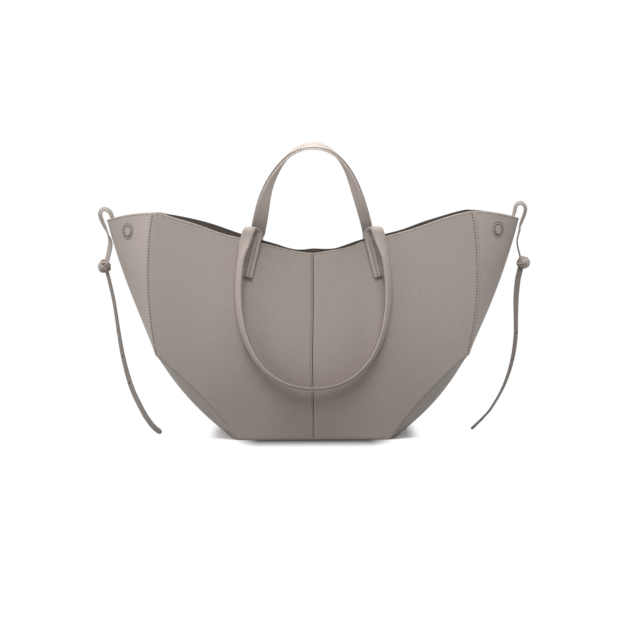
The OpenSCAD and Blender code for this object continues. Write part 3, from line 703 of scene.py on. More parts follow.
def drum_faces(sides):
    """Faces of a drum between two rings of points: its wall, its top and its bottom."""
    wall = [[k, (k + 1) % sides, sides + (k + 1) % sides, sides + k] for k in range(sides)]
    return wall + [[sides + k for k in range(sides)], [sides - 1 - k for k in range(sides)]]


def repeated(faces, step, count):
    """The faces of one small solid for each of its copies, whose points follow in steps."""
    return [[corner + step * copy for corner in face] for copy in range(count) for face in faces]


def stitches(name, seams, slot, pitch, length, radius, hole, slant=0.12):
    """Stitches along seams, each seam a path and the outward normals along it. One stitch is six
    sided, round in section, and tapers into the leather at both ends. Between two stitches is the
    needle hole, a small dark dimple, given as its half length and half width."""
    ends = np.array([-1, -0.82, -0.35, 0.35, 0.82, 1]) * length / 2
    girth = np.array([0.25, 0.75, 1, 1, 0.75, 0.25]) * radius
    sink = np.array([-0.7, -0.15, 0.1, 0.1, -0.15, -0.7]) * radius
    corner = np.arange(6) * np.pi / 3
    across = (girth[:, None] * np.cos(corner))[None, :, :, None]
    raised = (sink[:, None] + girth[:, None] * np.sin(corner))[None, :, :, None]
    around = np.arange(HOLE_SIDES) * 2 * np.pi / HOLE_SIDES
    sewn, dimples, count = [], [], 0
    for path, normal in seams:
        p, t, n = resample(path, normal, pitch)
        n = unit(n - (n * t).sum(-1, keepdims=True) * t)
        run = unit(t + slant * np.cross(n, t))
        side = np.cross(n, run)
        sewn.append((p[:, None, None] + run[:, None, None] * ends[None, :, None, None]
                     + side[:, None, None] * across + n[:, None, None] * raised).reshape(-1, 3))
        gap = p + t * pitch / 2 + n * 0.05
        lips = (gap[:, None] + t[:, None] * (hole[0] * np.cos(around))[None, :, None]
                + side[:, None] * (hole[1] * np.sin(around))[None, :, None])
        dimples.append(np.stack([lips - n[:, None] * HOLE_DEEP, lips], 1).reshape(-1, 3))
        count += len(p)
    stitch_faces = grid_faces(6, 6, wrap=True).tolist() + [[5, 4, 3, 2, 1, 0], [30, 31, 32, 33, 34, 35]]
    row = mesh_piece(name, np.concatenate(sewn), repeated(stitch_faces, 36, count))
    dress(closed(row), "bag", slot, material=shell_thread)
    hole_faces = repeated(drum_faces(HOLE_SIDES), 2 * HOLE_SIDES, count)
    holes = mesh_piece(f"{name}_holes", np.concatenate(dimples), hole_faces)
    dress(closed(holes), "bag", slot, material=needle_hole)


def surface_normal(point, u, v, outward, step=1e-3):
    """Normal of a two-parameter surface, by small steps along both parameters, on the outward side."""
    du = point(u + step, v) - point(u - step, v)
    dv = point(u, v + step) - point(u, v - step)
    n = unit(np.cross(du, dv))
    return n * np.sign((n * np.array(outward)).sum(-1, keepdims=True))


def panel_seam(a, b, back=False):
    """A line of sewing on a panel, with its normals."""
    a, b = np.broadcast_arrays(np.asarray(a, float), np.asarray(b, float))
    out = [0, 1 if back else -1, 0]
    normal = surface_normal(lambda u, v: panel_point(u, v, 0.0, back), a, np.minimum(b, 0.998), out)
    return panel_point(a, b, 0.0, back), normal


def wing_seam(b, w, sign):
    """A line of sewing on a wing, with its normals."""
    b, w = np.broadcast_arrays(np.asarray(b, float), np.asarray(w, float))
    normal = surface_normal(lambda u, v: wing_point(u, v, 0.0, sign), np.minimum(b, 0.998), w, [sign, 0, 0])
    return wing_point(b, w, 0.0, sign), normal


# The row below the rim runs round the whole mouth; a row runs at each side of the side seams, one on
# the panel and one on the wing, and one beside the lapped seam in the middle. ROW_END is a height.
RIM_INSET, SEAM_INSET, WING_ROW, LAP_SHARE = 0.0075, {-1: 0.004, 1: 0.0125}, 0.972, -0.0135
ROW_END = 0.985
mouth = np.linspace(-ROW_END, ROW_END, 200)
seam_rise = np.linspace(FOOT_B + 0.005, ROW_END, 120)
wing_rise = np.linspace(FOOT_B + 0.012, ROW_END, 120)
lap_rise = np.linspace(0.012, ROW_END, 160)
rim_rows, side_rows, wing_rows, lap_rows = [], [], [], []
for back in (False, True):
    rim_rows.append(panel_seam(mouth, 1 - RIM_INSET, back))
    lap_rows.append(panel_seam(LAP_SHARE, lap_rise, back))
    for sign in (-1, 1):
        side_rows.append(panel_seam(sign * (1 - SEAM_INSET[sign]), seam_rise, back))
        wing_rows.append(wing_seam(wing_rise, WING_ROW * (1 if back else -1), sign))
for sign in (-1, 1):
    rim_rows.append(wing_seam(1 - RIM_INSET, np.linspace(-0.965, -0.02, 80), sign))
    rim_rows.append(wing_seam(1 - RIM_INSET, np.linspace(0.02, 0.965, 80), sign))
for name, seams, pitch, length, radius, hole in (
        ("rim_stitches", rim_rows, 3.4, 2.4, 0.24, (0.55, 0.5)),
        ("side_stitches", side_rows, 3.5, 1.7, 0.22, (0.68, 0.8)),
        ("wing_stitches", wing_rows, 3.5, 2.4, 0.26, (0.5, 0.5)),
        ("lap_stitches", lap_rows, 2.65, 1.6, 0.3, (0.5, 0.62))):
    stitches(name, seams, "body_leather", pitch, length, radius, hole)


# Magnet discs: on each wing the leather is pressed over a magnet, so that a round stands up inside
# a sharp groove. A ring of stitches round it holds the magnet's pocket. The groove's faces are coloured
# near black: painted shade in the groove.
MAGNET_B, MAGNET_SIDE = 0.932, -0.5
DISC_R, GROOVE_R, DISC_EDGE = 5.5, 6.6, 7.1
DISC_H, DISC_FOOT = 0.7, 0.1
DISC_SIDES, GROOVE_FROM, GROOVE_TO = 48, 4, 8
RING_R, RING_PITCH = 9.1, 3.1
# A near black finish for the faces of the groove: painted shade.
groove_painted_shade = plain("groove painted shade", (0.075, 0.062, 0.054), 0.7)


def on_wing(r, turn, x, y):
    """Points at a radius and a turn round a magnet, on the curved wing, and the normal there."""
    here = side_point(np.array(MAGNET_B), np.array(MAGNET_SIDE), 0.0)
    up = np.linalg.norm(side_point(np.array(MAGNET_B + 0.01), np.array(MAGNET_SIDE), 0.0) - here) / 0.01
    across = np.linalg.norm(side_point(np.array(MAGNET_B), np.array(MAGNET_SIDE + 0.01), 0.0) - here) / 0.01
    b, w = MAGNET_B + r * np.sin(turn) / up, MAGNET_SIDE + r * np.cos(turn) / across
    normal = surface_normal(lambda u, v: wing_point(u, v, 0, x, y), b, w, [x, 0, 0])
    return wing_point(b, w, 0, x, y), normal


def fan_caps(rows, sides):
    """Two fans of triangles that close a wrapped grid, to the two points that follow it."""
    after, last = rows * sides, (rows - 1) * sides
    top = [[after, k, (k + 1) % sides] for k in range(sides)]
    return top + [[after + 1, last + (k + 1) % sides, last + k] for k in range(sides)]


# Profile of a disc from its middle outwards: radius, and height over the wing.
radius, height = np.array([
    (0, DISC_H + 0.12), (1.6, DISC_H + 0.11), (3.2, DISC_H + 0.08), (4.6, DISC_H + 0.03),
    (DISC_R - 0.35, DISC_H), (DISC_R, DISC_H - 0.25), (DISC_R + 0.25, 0.3), (GROOVE_R - 0.2, DISC_FOOT),
    (GROOVE_R + 0.15, 0.32), (DISC_EDGE - 0.1, 0.26), (DISC_EDGE, 0.05), (DISC_EDGE - 0.2, -0.5)]).T
for face, y in (("front", 1), ("back", -1)):
    for hand, x in (("left", -1), ("right", 1)):
        turn = np.linspace(0, 2 * np.pi, DISC_SIDES, endpoint=False)
        r, t = np.meshgrid(radius[1:], turn, indexing="ij")
        point, normal = on_wing(r, t, x, y)
        skin = (point + normal * height[1:, None, None]).reshape(-1, 3)
        middle, up = on_wing(np.array([0.0]), np.array([0.0]), x, y)
        points = np.concatenate([skin, middle + up * height[0], middle - up * 0.5])
        rings = len(radius) - 1
        faces = grid_faces(rings, DISC_SIDES, wrap=True).tolist() + fan_caps(rings, DISC_SIDES)
        disc = closed(mesh_piece(f"magnet_disc_{face}_{hand}", points, faces))
        dress(disc, "bag", "body_leather", f"magnet_cap_{face}_{hand}", material=wing_painted_light_leather)
        # The faces of the groove take the near black finish, painted shade in the groove.
        disc.data.materials.append(groove_painted_shade)
        for polygon in disc.data.polygons[DISC_SIDES * GROOVE_FROM:DISC_SIDES * GROOVE_TO]:
            polygon.material_index = 1
        loop = np.linspace(0, 2 * np.pi, 73)
        stitches(f"magnet_stitches_{face}_{hand}", [on_wing(RING_R + 0 * loop, loop, x, y)], "body_leather",
                 RING_PITCH, 1.6, 0.26, (0.85, 0.8), slant=0)


# Handle tabs: padded leather straps, narrower and thinner at their lower end, sewn to the panel by
# a row along each edge and a bar across the end. The front ones fold over at the top.
STRAP_W, STRAP_T, TAB_THIN, TAB_NARROW = 14.0, 4.4, 0.8, 0.86
TAB_LOW_X, TAB_HIGH_X, TAB_LOW_Z = 77.4, 67.8, 189.0
FOLD_R, FOLD_RISE, FRONT_ROOT_X, LAY = 5.2, 17.0, 73.0, 0.15
RIM_TAB = float(rim_z(TAB_HIGH_X))
TAB_TOP = RIM_TAB + FOLD_RISE - FOLD_R - STRAP_T / 2
REAR_TOP = RIM_TAB + 4
REAR_R, REAR_LEAN = 9.0, np.radians(62)
strap_leather = leather("strap leather", (0.41, 0.358, 0.322), (0.375, 0.326, 0.293), 0.2, 0.68)
edge_paint = plain("edge paint", (0.15, 0.125, 0.108), 0.5, 0.0, 0.1)


def tab_x(z):
    """Slant of a tab: a straight line from its low end to the rim."""
    return lerp(TAB_LOW_X, TAB_HIGH_X, (z - TAB_LOW_Z) / (RIM_TAB - TAB_LOW_Z))


def tab_y(z, drape=front_drape):
    """How far out a tab's middle lies: on the panel, and leaning in by a tenth above the rim."""
    low = np.minimum(z, RIM_TAB)
    out = half_depth(tab_x(low), low) + drape(tab_x(low), low)
    return -(out + LAY + STRAP_T / 2) + 0.1 * np.maximum(0, z - RIM_TAB)


# Section of a strap, one wide and one thick: the outer layer is thin and flat with a cut edge, the
# inner layer is padded and rounds away from it. OUTER_SHARE is where they meet.
OUTER_SHARE, LAYER_GAP = 0.2, 0.1


def arch(n, top, foot, shoulder, crown):
    """Half a section, from one edge over the crown to the other: a superellipse."""
    t = np.linspace(0, np.pi, n)
    x = 0.5 * np.sign(np.cos(t)) * np.abs(np.cos(t)) ** shoulder
    return np.stack([x, foot + (top - foot) * np.sin(t) ** crown], -1)


outer_arch = arch(14, 0.5, OUTER_SHARE, 0.25, 0.3)
inner_arch = arch(24, -0.5, OUTER_SHARE - LAYER_GAP / STRAP_T, 0.42, 0.42) * [0.97, 1]
groove = np.array([[-0.44, OUTER_SHARE - 0.01]])
strap_outline = np.concatenate([outer_arch, groove, inner_arch[::-1], -groove * [1, -1]])


def sweep(name, centre, wide, thick, section, widths, depths, edge=None):
    """A section carried along a path: its first axis along wide, its second along thick. The faces
    of the section's sides that edge marks take the second finish."""
    rings = (centre[:, None] + wide[:, None] * section[None, :, :1] * widths[:, None, None]
             + thick[:, None] * section[None, :, 1:] * depths[:, None, None])
    n, m = rings.shape[:2]
    faces = grid_faces(n, m, wrap=True).tolist()
    faces += [list(range(m - 1, -1, -1)), [(n - 1) * m + k for k in range(m)]]
    piece = closed(mesh_piece(name, rings.reshape(-1, 3), faces))
    if edge is not None:
        finish = np.append(np.tile(edge, n - 1), [0, 0]).astype(np.int32)
        piece.data.polygons.foreach_set("material_index", finish)
    return piece


def edges_of(section, limit=0.485):
    """Marks the sides of a section that lie on its two cut edges."""
    middle = (section + np.roll(section, -1, 0)) / 2
    return (np.abs(middle[:, 0]) > limit) & (middle[:, 1] > OUTER_SHARE)


# The rear handle bends forward where it leaves its tab: the tab's line and the handle's line meet
# at REAR_MEET along the handle, and an arc joins them.
REAR_ALONG = np.array([-np.sin(REAR_LEAN), np.cos(REAR_LEAN)])
REAR_NORMAL = np.array([np.cos(REAR_LEAN), np.sin(REAR_LEAN)])
rear_foot = np.array([-float(tab_y(np.array(REAR_TOP), lambda x, z: 0 * z)), REAR_TOP])
REAR_AXIS = rear_foot + np.array([STRAP_T / 2 + SEAM_GAP, 1.5 * SEAM_GAP])
rear_root = REAR_AXIS - REAR_NORMAL * STRAP_T / 2
tab_way = unit(np.array([-0.1, 1.0]))
REAR_MEET = float(np.linalg.solve(np.stack([REAR_ALONG, -tab_way], -1), rear_foot - rear_root)[0])
REAR_TURN = REAR_LEAN - np.arctan(0.1)
REAR_REACH_IN = REAR_R * np.tan(REAR_TURN / 2)
bend_start = rear_root + REAR_ALONG * REAR_MEET - tab_way * REAR_REACH_IN
REAR_BEND_Z = float(bend_start[1])


def tab_path(top, drape):
    """A tab from its low end to a top: its middle line, the directions of its width and thickness,
    and both sizes, which grow in proportion to the height. Its outer face stays on the panel."""
    rounded_end = TAB_LOW_Z + np.array([0, 0.25, 0.8, 1.6, 3, 5])
    z = np.concatenate([rounded_end, np.linspace(TAB_LOW_Z + 8, top, 26)])
    centre = np.stack([tab_x(z), tab_y(z, drape), z], -1)
    ahead = np.stack([tab_x(z + 1), tab_y(z + 1, drape), z + 1], -1)
    before = np.stack([tab_x(z - 1), tab_y(z - 1, drape), z - 1], -1)
    t = unit(ahead - before)
    wide = unit(np.stack([np.ones_like(z), 0 * z, -t[:, 0] / t[:, 2]], -1))
    thick = unit(np.cross(t, wide))
    grow = (z - TAB_LOW_Z) / (top - TAB_LOW_Z)
    start = share((z - TAB_LOW_Z) / 1.6) ** 0.5
    width = lerp(STRAP_W * TAB_NARROW, STRAP_W, grow) * lerp(0.86, 1, start)
    depth = lerp(STRAP_T - TAB_THIN, STRAP_T, grow)
    seated = centre - thick * ((STRAP_T - depth) / 2)[:, None] * np.sign(thick[:, 1:2]) * -1
    return seated, wide, thick, width, depth * lerp(0.7, 1, start)


tab_section = strap_outline * [1, -1]
TAB_STITCH_IN, TAB_STITCH_TOP, BAR_HALF, FOLD_STEPS = 0.17, 44.0, 0.44, 9
for face, y in (("front", 1), ("rear", -1)):
    drape = front_drape if y > 0 else back_drape
    for hand, x in (("left", -1), ("right", 1)):
        look = (lambda u, v, d=drape, s=x: d(s * u, v))
        centre, wide, thick, width, depth = tab_path(TAB_TOP if y > 0 else REAR_BEND_Z, look)
        if y > 0:
            angle = np.linspace(0, np.pi / 2, FOLD_STEPS + 1)[1:]
            s = angle / (np.pi / 2)
            out = np.stack([0 * angle, np.cos(angle), np.sin(angle)], -1)
            mid = centre[-1] - np.array([0, FOLD_R, 0])
            drift = np.stack([(FRONT_ROOT_X - centre[-1, 0]) * s, 0 * s, 0 * s], -1)
            bend = mid + FOLD_R * out + drift
            centre = np.concatenate([centre, bend])
            wide = np.concatenate([wide, np.tile([1.0, 0, 0], (FOLD_STEPS, 1))])
            thick = np.concatenate([thick, out * (1 if thick[-1, 1] > 0 else -1)])
            width = np.concatenate([width, np.full(FOLD_STEPS, STRAP_W)])
            depth = np.concatenate([depth, np.full(FOLD_STEPS, STRAP_T)])
        tab = sweep(f"{face}_tab_leather_{hand}", flip(centre, x, y), flip(wide, x, y), flip(thick, x, y),
                    tab_section, width, depth, edges_of(strap_outline))
        for finish in (strap_leather, edge_paint):
            tab.data.materials.append(finish)
        dress(tab, "bag", "handle_leather", f"{face}_tab_{hand}")
        sewn = centre[:, 2] < TAB_LOW_Z + TAB_STITCH_TOP
        c, w, t, wd, dp = (v[sewn][1:] for v in (centre, wide, thick, width, depth))
        top = c - t * (dp * 0.5 - 0.02)[:, None]
        seams = []
        for side in (-1, 1):
            line = top + w * (side * TAB_STITCH_IN * wd)[:, None]
            seams.append((flip(line, x, y), flip(-t, x, y)))
        across = np.linspace(-BAR_HALF, BAR_HALF, 12)[:, None]
        bar = top[1] + w[1] * wd[1] * across
        seams.append((flip(bar, x, y), flip(np.tile(-t[1], (12, 1)), x, y)))
        stitches(f"{face}_tab_stitches_{hand}", seams, "handle_leather", 3.3, 1.8, 0.28, (0.75, 0.65),
                 slant=0)


# Handles: a thin outer and a padded inner layer sewn round a flat tape, folded over at the front
# tabs and bent forward at the rear ones. The front one hangs, the rear one stands and leans forward.
FRONT_REACH, FRONT_SWELL, FRONT_SHOULDER, FRONT_RISE = 189.6, 29.0, 17.0, 0.4
REAR_REACH, REAR_SWELL, REAR_SHOULDER, REAR_RISE = 226.0, -7.0, -21.0, 0.31
FRONT_TWIST, REAR_TWIST = (np.radians(-60), np.radians(-24), 0.88), (0.0, np.radians(51), 0.62)
FRONT_LEAN, FRONT_MIDDLE_T = np.radians(9.5), 3.3
FRONT_BEND = ((0, -0.0535, 0.2438), (0, -0.0598, 0.236))
REAR_ROOT_W, REAR_BEND_END, EARLY_STEPS = {-1: 18.0, 1: 13.4}, 15, 7
TAPE_W, TAPE_T = 9.0, 0.6
FOLD_MID = np.array([float(tab_y(np.array(TAB_TOP), lambda x, z: 0 * z)) - FOLD_R, TAB_TOP])
ARC_ANGLE = np.pi / 2 - FRONT_LEAN


def course(root, swell, shoulder, reach, rise_share, s):
    """Flat course of a handle: a cubic curve from the root out and in to the middle, mirrored."""
    t = 1 - np.abs(s)
    weight = np.stack([(1 - t) ** 3, 3 * (1 - t) ** 2 * t, 3 * (1 - t) * t * t, t**3])
    x = np.sign(s) * (weight.T @ [root, root + swell, root + shoulder, 0])
    return x, weight.T @ [0, reach * rise_share, reach, reach]


def front_profile(l):
    """Side view of the front handle: an arc over the fold, then straight down, leaning out."""
    a = np.minimum(l / FOLD_R, ARC_ANGLE)
    r = np.maximum(0, l - ARC_ANGLE * FOLD_R)
    y = FOLD_MID[0] - FOLD_R * np.sin(a) - r * np.cos(a)
    z = FOLD_MID[1] + FOLD_R * np.cos(a) - r * np.sin(a)
    return y, z, np.stack([0 * a, -np.cos(a), -np.sin(a)], -1), np.stack([0 * a, np.sin(a), -np.cos(a)], -1)


def rear_profile(l):
    """Side view of the rear handle: an arc from the tab's line to the leaning one, then straight."""
    end = REAR_MEET + REAR_REACH_IN
    first = np.arctan(0.1)
    a = first + np.clip((l - end) / REAR_R + REAR_TURN, 0, REAR_TURN)
    mid = bend_start - REAR_R * np.array([np.cos(first), np.sin(first)])
    r = np.maximum(0, l - end)
    y = mid[0] + REAR_R * np.cos(a) - r * np.sin(a)
    z = mid[1] + REAR_R * np.sin(a) + r * np.cos(a)
    return y, z, np.stack([0 * a, -np.sin(a), np.cos(a)], -1), np.stack([0 * a, np.cos(a), np.sin(a)], -1)


def strap_frames(x, l, s, profile, twist, square_to):
    """Centre line, width and thickness directions of a strap that twists by two angles: the first
    just after its root, the second towards its middle, each by a soft step. Up to square_to it
    leaves its root square."""
    y, z, along, normal = profile(l)
    flow = unit(np.gradient(np.stack([x, l], -1), axis=0))
    square = np.stack([0 * s, -np.sign(s)], -1)
    flow = unit(lerp(square, flow, smooth(share(l / square_to))[:, None]))
    inward = flow[:, 1:] * np.array([1.0, 0, 0]) - flow[:, :1] * along
    turn = (twist[0] * smooth((l - 5) / 35) + twist[1] * smooth((1 - np.abs(s) - 0.12) / twist[2]))[:, None]
    return (np.stack([x, y, z], -1), np.cos(turn) * inward + np.sin(turn) * normal,
            np.cos(turn) * normal - np.sin(turn) * inward)


TAPE_SHARE = OUTER_SHARE - 0.09
outer_section = np.concatenate([outer_arch, [[-0.4, OUTER_SHARE], [0.4, OUTER_SHARE]]])
tape_room = np.array([[-0.34, 0.09], [-0.34, -0.08], [0.34, -0.08], [0.34, 0.09]]) + [0, TAPE_SHARE - 0.02]
inner_section = np.concatenate([inner_arch[::-1], tape_room[::-1]])
tape_section = np.array([[-0.5, -0.5], [0.5, -0.5], [0.5, 0.5], [-0.5, 0.5]])
tape_web = woven("handle tape", WEB_LIGHT, WEB_DARK, WEB_PITCH)
s = np.linspace(-1, 1, 161)
s = np.sign(s) * (1 - (1 - np.abs(s)) ** 1.25)
front_x, front_l = course(FRONT_ROOT_X, FRONT_SWELL, FRONT_SHOULDER, FRONT_REACH, FRONT_RISE, s)
rear_x, rear_l = course(float(tab_x(REAR_TOP)), REAR_SWELL, REAR_SHOULDER, REAR_REACH, REAR_RISE, s)
early = np.linspace(REAR_MEET - REAR_R * REAR_TURN + REAR_REACH_IN, 0, EARLY_STEPS + 1)[:-1]
lead = np.full(EARLY_STEPS, rear_x[-1])
rear_x, rear_l = np.concatenate([-lead, rear_x, lead]), np.concatenate([early, rear_l, early[::-1]])
rear_s = np.concatenate([np.full(EARLY_STEPS, -1), s, np.full(EARLY_STEPS, 1)])
swollen = smooth((np.abs(rear_s) - 0.5) / 0.35) * smooth((1 - np.abs(rear_s)) / 0.05 + 0.2)
rear_x = rear_x - 1.6 * hill(rear_l, 120, 60) + np.sign(rear_s) * 1.0 * hill(rear_l, 10, 45)
rear_w = lerp(STRAP_W, np.where(rear_s < 0, REAR_ROOT_W[-1], REAR_ROOT_W[1]), swollen)
for name, station, frames, start, end, w, middle_t in (
        ("front", s, strap_frames(front_x, front_l, s, front_profile, FRONT_TWIST, ARC_ANGLE * FOLD_R),
         *FRONT_BEND, 0 * s + STRAP_W, FRONT_MIDDLE_T),
        ("rear", rear_s, strap_frames(rear_x, rear_l, rear_s, rear_profile, REAR_TWIST, 12.0),
         (0, *(bend_start * MM)), (0, *((rear_root + REAR_ALONG * REAR_BEND_END) * MM)), rear_w, STRAP_T)):
    centre, wide, thick = frames
    t = lerp(middle_t, STRAP_T, smooth(np.abs(station) * 1.6))
    shift = thick * (t * TAPE_SHARE)[:, None]
    for layer, section, widths, depths, at in (
            ("outer", outer_section, w, t, centre), ("inner", inner_section, w, t, centre),
            ("tape", tape_section, 0 * w + TAPE_W, 0 * w + TAPE_T, centre + shift)):
        marks = edges_of(section) if layer == "outer" else None
        strap = sweep(f"{name}_strap_{layer}", at, wide, thick, section, widths, depths, marks)
        strap.data.materials.append(tape_web if layer == "tape" else strap_leather)
        if layer == "outer":
            strap.data.materials.append(edge_paint)
        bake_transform(strap)
        "reinforcement" if layer == "tape" else "handle_leather"
        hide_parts(f"{name}_handle_{layer}")
        if name == "rear":
            under_handle.objects.link(strap)


# Laces: one flat lace of the same leather goes over the rim at each wing tip, comes out at the end
# of a slit, and ends in a knot. Its tail hangs from the knot and has three holes.
LACE_W, LACE_T = 7.0, 1.9
lace_leather = leather("lace leather", (0.4, 0.35, 0.315), (0.35, 0.305, 0.274), 0.6)
# A darker copy of the lace leather for the tails and the right strap: partly the darker back of the lace,
# partly painted shade where they hang turned from the light.
lace_painted_shade_leather = leather("lace leather with painted shade", (0.29, 0.256, 0.234), (0.235, 0.205, 0.186), 0.6)
hole_dark = plain("hole shadow", (0.03, 0.025, 0.022), 0.8)

# Routes in millimetres on the right side, the left ones mirrored later: x, z, y, and the turn of
# the lace's width out of the Y direction in degrees.
LACES = {
    "left": {
        "loop": [[223.7, 229.3, 0, 0], [229.7, 239.3, 0, 5], [235.7, 249.3, 0, 15], [239.7, 258.8, 0, 30],
                 [242.1, 264.6, 0, 35], [245.5, 267.7, 0, 38], [249.7, 268.7, 0, 40], [253.1, 266.3, 0, 42],
                 [254.1, 261.8, 0, 42], [251.8, 254.2, 0, 38], [248.6, 247, 0, 30], [245.9, 241.5, 0, 10],
                 [245.1, 238.3, 0, 0]],
        "strap": [[246.7, 242.8, 0, 0], [244.9, 237.8, 0, 10], [242.7, 231.3, 0, 38], [242.6, 225.3, 0, 50],
                  [243.7, 219.3, 0, 52], [245.1, 213.3, 0, 50], [247.1, 205.3, 0, 48]],
        "tail": [[247.1, 194.8, 0, 36], [246, 190.6, 0, 36], [243.7, 181.1, 0, 35], [239.1, 159.5, 0, 33],
                 [235.9, 137.9, 0, 34], [232.9, 116.2, 0, 38], [229.3, 94.6, 0, 44], [224.1, 72.8, -2, 50],
                 [216.9, 51.2, -6, 56], [205.6, 29.6, -14, 60], [198.7, 18.7, -18, 62],
                 [190.6, 9.1, -22, 66], [181.7, 2.8, -26, 70]]},
    "right": {
        "loop": [[224.4, 229.3, 0, 0], [230.4, 241.3, 0, 5], [236.4, 252.3, 0, 12], [240.3, 261.4, 0, 20],
                 [242.1, 269.3, 0, 26], [244.8, 273.1, 0, 30], [248.6, 273.9, 0, 34], [252.6, 270.8, 0, 36],
                 [253.8, 266.2, 0, 36], [252.6, 260.3, 0, 34], [249.7, 252.8, 0, 30], [247.2, 245.3, 0, 16],
                 [246.7, 239.3, 0, 0]],
        "strap": [[247.4, 242.8, 0, 0], [246, 237.8, 0, 4], [244.4, 231.5, 0, 6], [244.2, 225.5, 0, 8],
                  [245.2, 219.5, 0, 8], [246.8, 213.6, 0, 10], [248.8, 205.8, 0, 14]],
        "tail": [[247.9, 196.3, 0, 78], [247.2, 191.9, 0, 78], [244.9, 181.1, 0, 76], [243.1, 161, 0, 66],
                 [242.9, 137.9, 0, 48], [242.8, 116.2, 0, 44], [240.4, 94.7, 0, 42], [235, 72.8, -2, 34],
                 [226.5, 51.2, -4, 26], [213.5, 29.6, -8, 22], [204.2, 18.7, -10, 22],
                 [192.8, 7.8, -12, 26], [188.6, 4.2, -13, 28]]}}
HOLES = {"left": (0.385, 0.51, 0.625), "right": (0.41, 0.53, 0.65)}
KNOTS = {"left": np.array([250.2, 0, 200]), "right": np.array([251.7, 0, 202.4])}
HOLE_R, PLUG_SIDES, RUN_STEPS = 1.25, 14, 9

# A knot is a small lump with three turns of lace round it. KNOT_HALF is its half sizes, and a turn has
# its axis, its radius, and how far it lies off the middle along that axis.
KNOT_HALF, KNOT_ROWS, KNOT_SIDES = np.array([6.6, 5.8, 6.2]), 19, 32
WRAP_STEPS, WRAP_W, WRAP_T = 40, 6.4, 1.9
WRAPS = {
    "left": [((0.55, -0.25, 0.8), 6.3, 0.0), ((-0.72, -0.5, 0.48), 6.5, 0.3), ((0.1, 0.85, 0.5), 6.0, -0.4)],
    "right": [((-0.35, -0.4, 0.85), 6.4, 0.2), ((0.8, -0.45, 0.4), 6.2, 0.0), ((0.3, 0.8, -0.5), 6.2, 0.5)]}


def lace_run(route, n):
    """A smooth run through a route's points: on each stretch the cubic that its neighbours bend."""
    p = np.array(route, float)
    p = np.concatenate([[2 * p[0] - p[1]], p, [2 * p[-1] - p[-2]]])
    t = np.linspace(0, 1, n, endpoint=False)[:, None]
    runs = []
    for a, b, c, d in zip(p, p[1:], p[2:], p[3:]):
        runs.append(0.5 * (2 * b + (c - a) * t + (2 * a - 5 * b + 4 * c - d) * t**2
                           + (3 * b - a - 3 * c + d) * t**3))
    return np.concatenate(runs + [p[-2:-1]])


def lace_frames(run):
    """Middle line of a lace, and the directions of its width, turned out of Y, and its thickness."""
    centre = run[:, [0, 2, 1]]
    t = unit(np.gradient(centre, axis=0))
    flat = unit(np.cross(t, [0.0, 1, 0]))
    turn = np.radians(run[:, 3])[:, None]
    wide = np.cos(turn) * np.array([0.0, 1, 0]) + np.sin(turn) * flat
    wide = unit(wide - (wide * t).sum(-1, keepdims=True) * t)
    return centre, wide, np.cross(t, wide)


OUTLINE_SIDES = 20
around = np.linspace(0, 2 * np.pi, OUTLINE_SIDES, endpoint=False) + np.pi / OUTLINE_SIDES
lace_outline = 0.5 * np.stack([np.sign(np.cos(around)) * np.abs(np.cos(around)) ** 0.4,
                               np.sign(np.sin(around)) * np.abs(np.sin(around)) ** 0.5], -1)


def hole_plug(centre, wide, thick):
    """A dark drum in a hole of the lace, a little longer than the lace is thick."""
    ring = np.arange(PLUG_SIDES) * 2 * np.pi / PLUG_SIDES
    across = np.cos(ring)[:, None] * wide + np.sin(ring)[:, None] * np.cross(wide, thick)
    lip, reach = centre + HOLE_R * across, thick * (LACE_T / 2 + 0.06)
    return np.concatenate([lip - reach, lip + reach])


def knot_lump(knot):
    """The lump of a knot: an ellipsoid with shallow three-fold dents."""
    u, v = np.meshgrid(np.linspace(0, np.pi, KNOT_ROWS + 2)[1:-1],
                       np.linspace(0, 2 * np.pi, KNOT_SIDES, endpoint=False), indexing="ij")
    lump = 0.97 + 0.06 * np.cos(3 * v + 2 * u) * np.sin(u)
    ball = np.stack([np.sin(u) * np.cos(v), np.sin(u) * np.sin(v), np.cos(u)], -1)
    pole = KNOT_HALF * [0, 0, 0.97]
    skin = knot + KNOT_HALF * lump[..., None] * ball
    return np.concatenate([skin.reshape(-1, 3), [knot + pole], [knot - pole]])


def knot_turn(knot, axis, radius, skew, number):
    """One turn of lace round a knot: a ring that swells and leans as waves of its angle."""
    axis = unit(np.array(axis, float))
    first = unit(np.cross(axis, [0.0, 1, 0.3]))
    second = np.cross(axis, first)
    a = np.linspace(0, 2 * np.pi, WRAP_STEPS, endpoint=False)[:, None]
    out = np.cos(a) * first + np.sin(a) * second
    swell = 1 + 0.07 * np.cos(3 * a + number) + 0.03 * np.cos(2 * a)
    ring = knot + out * radius * swell * [1.04, 0.95, 1.0] + axis * skew
    lean = np.radians(14) * np.sin(2 * a + number)
    wide, thick = np.cos(lean) * axis + np.sin(lean) * out, np.cos(lean) * out - np.sin(lean) * axis
    return (ring[:, None] + wide[:, None] * lace_outline[None, :, :1] * WRAP_W
            + thick[:, None] * lace_outline[None, :, 1:] * WRAP_T)


def band_faces(rings, sides):
    """Quads of a closed band: a wrapped grid whose last ring joins its first."""
    last, ring = (rings - 1) * sides, np.arange(sides)
    after = (ring + 1) % sides
    joint = np.stack([last + ring, ring, after, last + after], -1)
    return np.concatenate([grid_faces(rings, sides, wrap=True), joint])


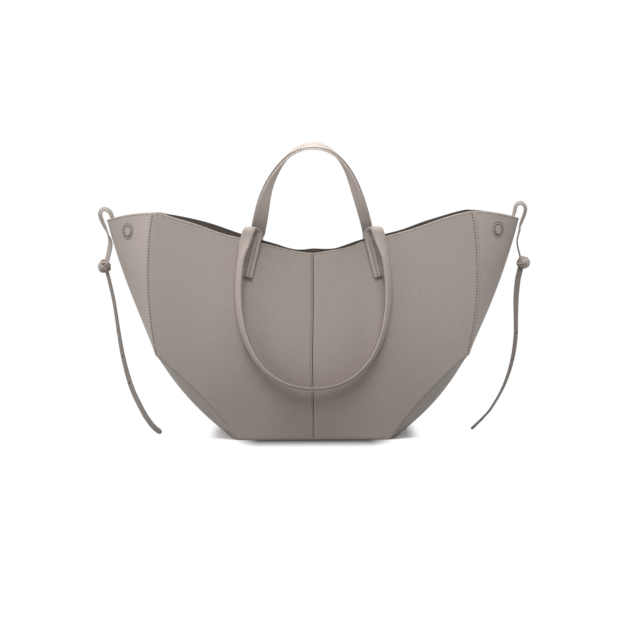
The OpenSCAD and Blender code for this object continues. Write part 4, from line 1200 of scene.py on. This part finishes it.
for hand, x in (("left", -1), ("right", 1)):
    for part, node in (("loop", "tie_loop"), ("strap", "tie_strap"), ("tail", "tail")):
        centre, wide, thick = lace_frames(lace_run(LACES[hand][part], RUN_STEPS))
        full = np.ones(len(centre))
        tip = share((np.arange(len(centre))[::-1] + 0.6) / 3) ** 0.5 if part == "tail" else full
        lace = sweep(f"{hand}_lace_{part}", flip(centre, x), flip(wide, x), flip(thick, x), lace_outline,
                     LACE_W * tip, LACE_T * full)
        # The tails and the right strap take the darker copy of the lace leather: partly painted shade.
        takes_painted_shade = part == "tail" or (hand, part) == ("right", "strap")
        lace.data.materials.append(lace_painted_shade_leather if takes_painted_shade else lace_leather)
        if part == "loop":
            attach(lace, "bag")
        elif part == "strap":
            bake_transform(lace)
        else:
            top = centre[0]
            x * top[0] * MM
            (top[2] - 1) * MM
            x * (top[0] - 1.5) * MM
            (top[2] - 9) * MM
            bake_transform(lace)
            path = flip(centre, x) * MM
            length = float(np.linalg.norm(np.diff(path, axis=0), axis=1).sum())
            stations = [int(round(hole * (len(centre) - 1))) for hole in HOLES[hand]]
            plugs = np.concatenate([hole_plug(centre[k], wide[k], thick[k]) for k in stations])
            plug_faces = repeated(drum_faces(PLUG_SIDES), 2 * PLUG_SIDES, len(stations))
            holes = closed(mesh_piece(f"{hand}_lace_holes", flip(plugs, x), plug_faces))
            dress(holes, f"{hand}_tail", "lace_leather", material=hole_dark)
        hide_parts(f"{hand}_{node}")
    lump_faces = grid_faces(KNOT_ROWS, KNOT_SIDES, wrap=True).tolist() + fan_caps(KNOT_ROWS, KNOT_SIDES)
    ball = closed(mesh_piece(f"{hand}_lace_knot", flip(knot_lump(KNOTS[hand]), x), lump_faces))
    dress(ball, f"{hand}_tie", "lace_leather", f"{hand}_knot", material=lace_leather)
    for number, (axis, radius, skew) in enumerate(WRAPS[hand]):
        turn = knot_turn(KNOTS[hand], axis, radius, skew, number).reshape(-1, 3)
        faces = band_faces(WRAP_STEPS, OUTLINE_SIDES)
        wrap = closed(mesh_piece(f"{hand}_lace_wrap_{number + 1}", flip(turn, x), faces))
        dress(wrap, f"{hand}_tie", "lace_leather", material=lace_leather)
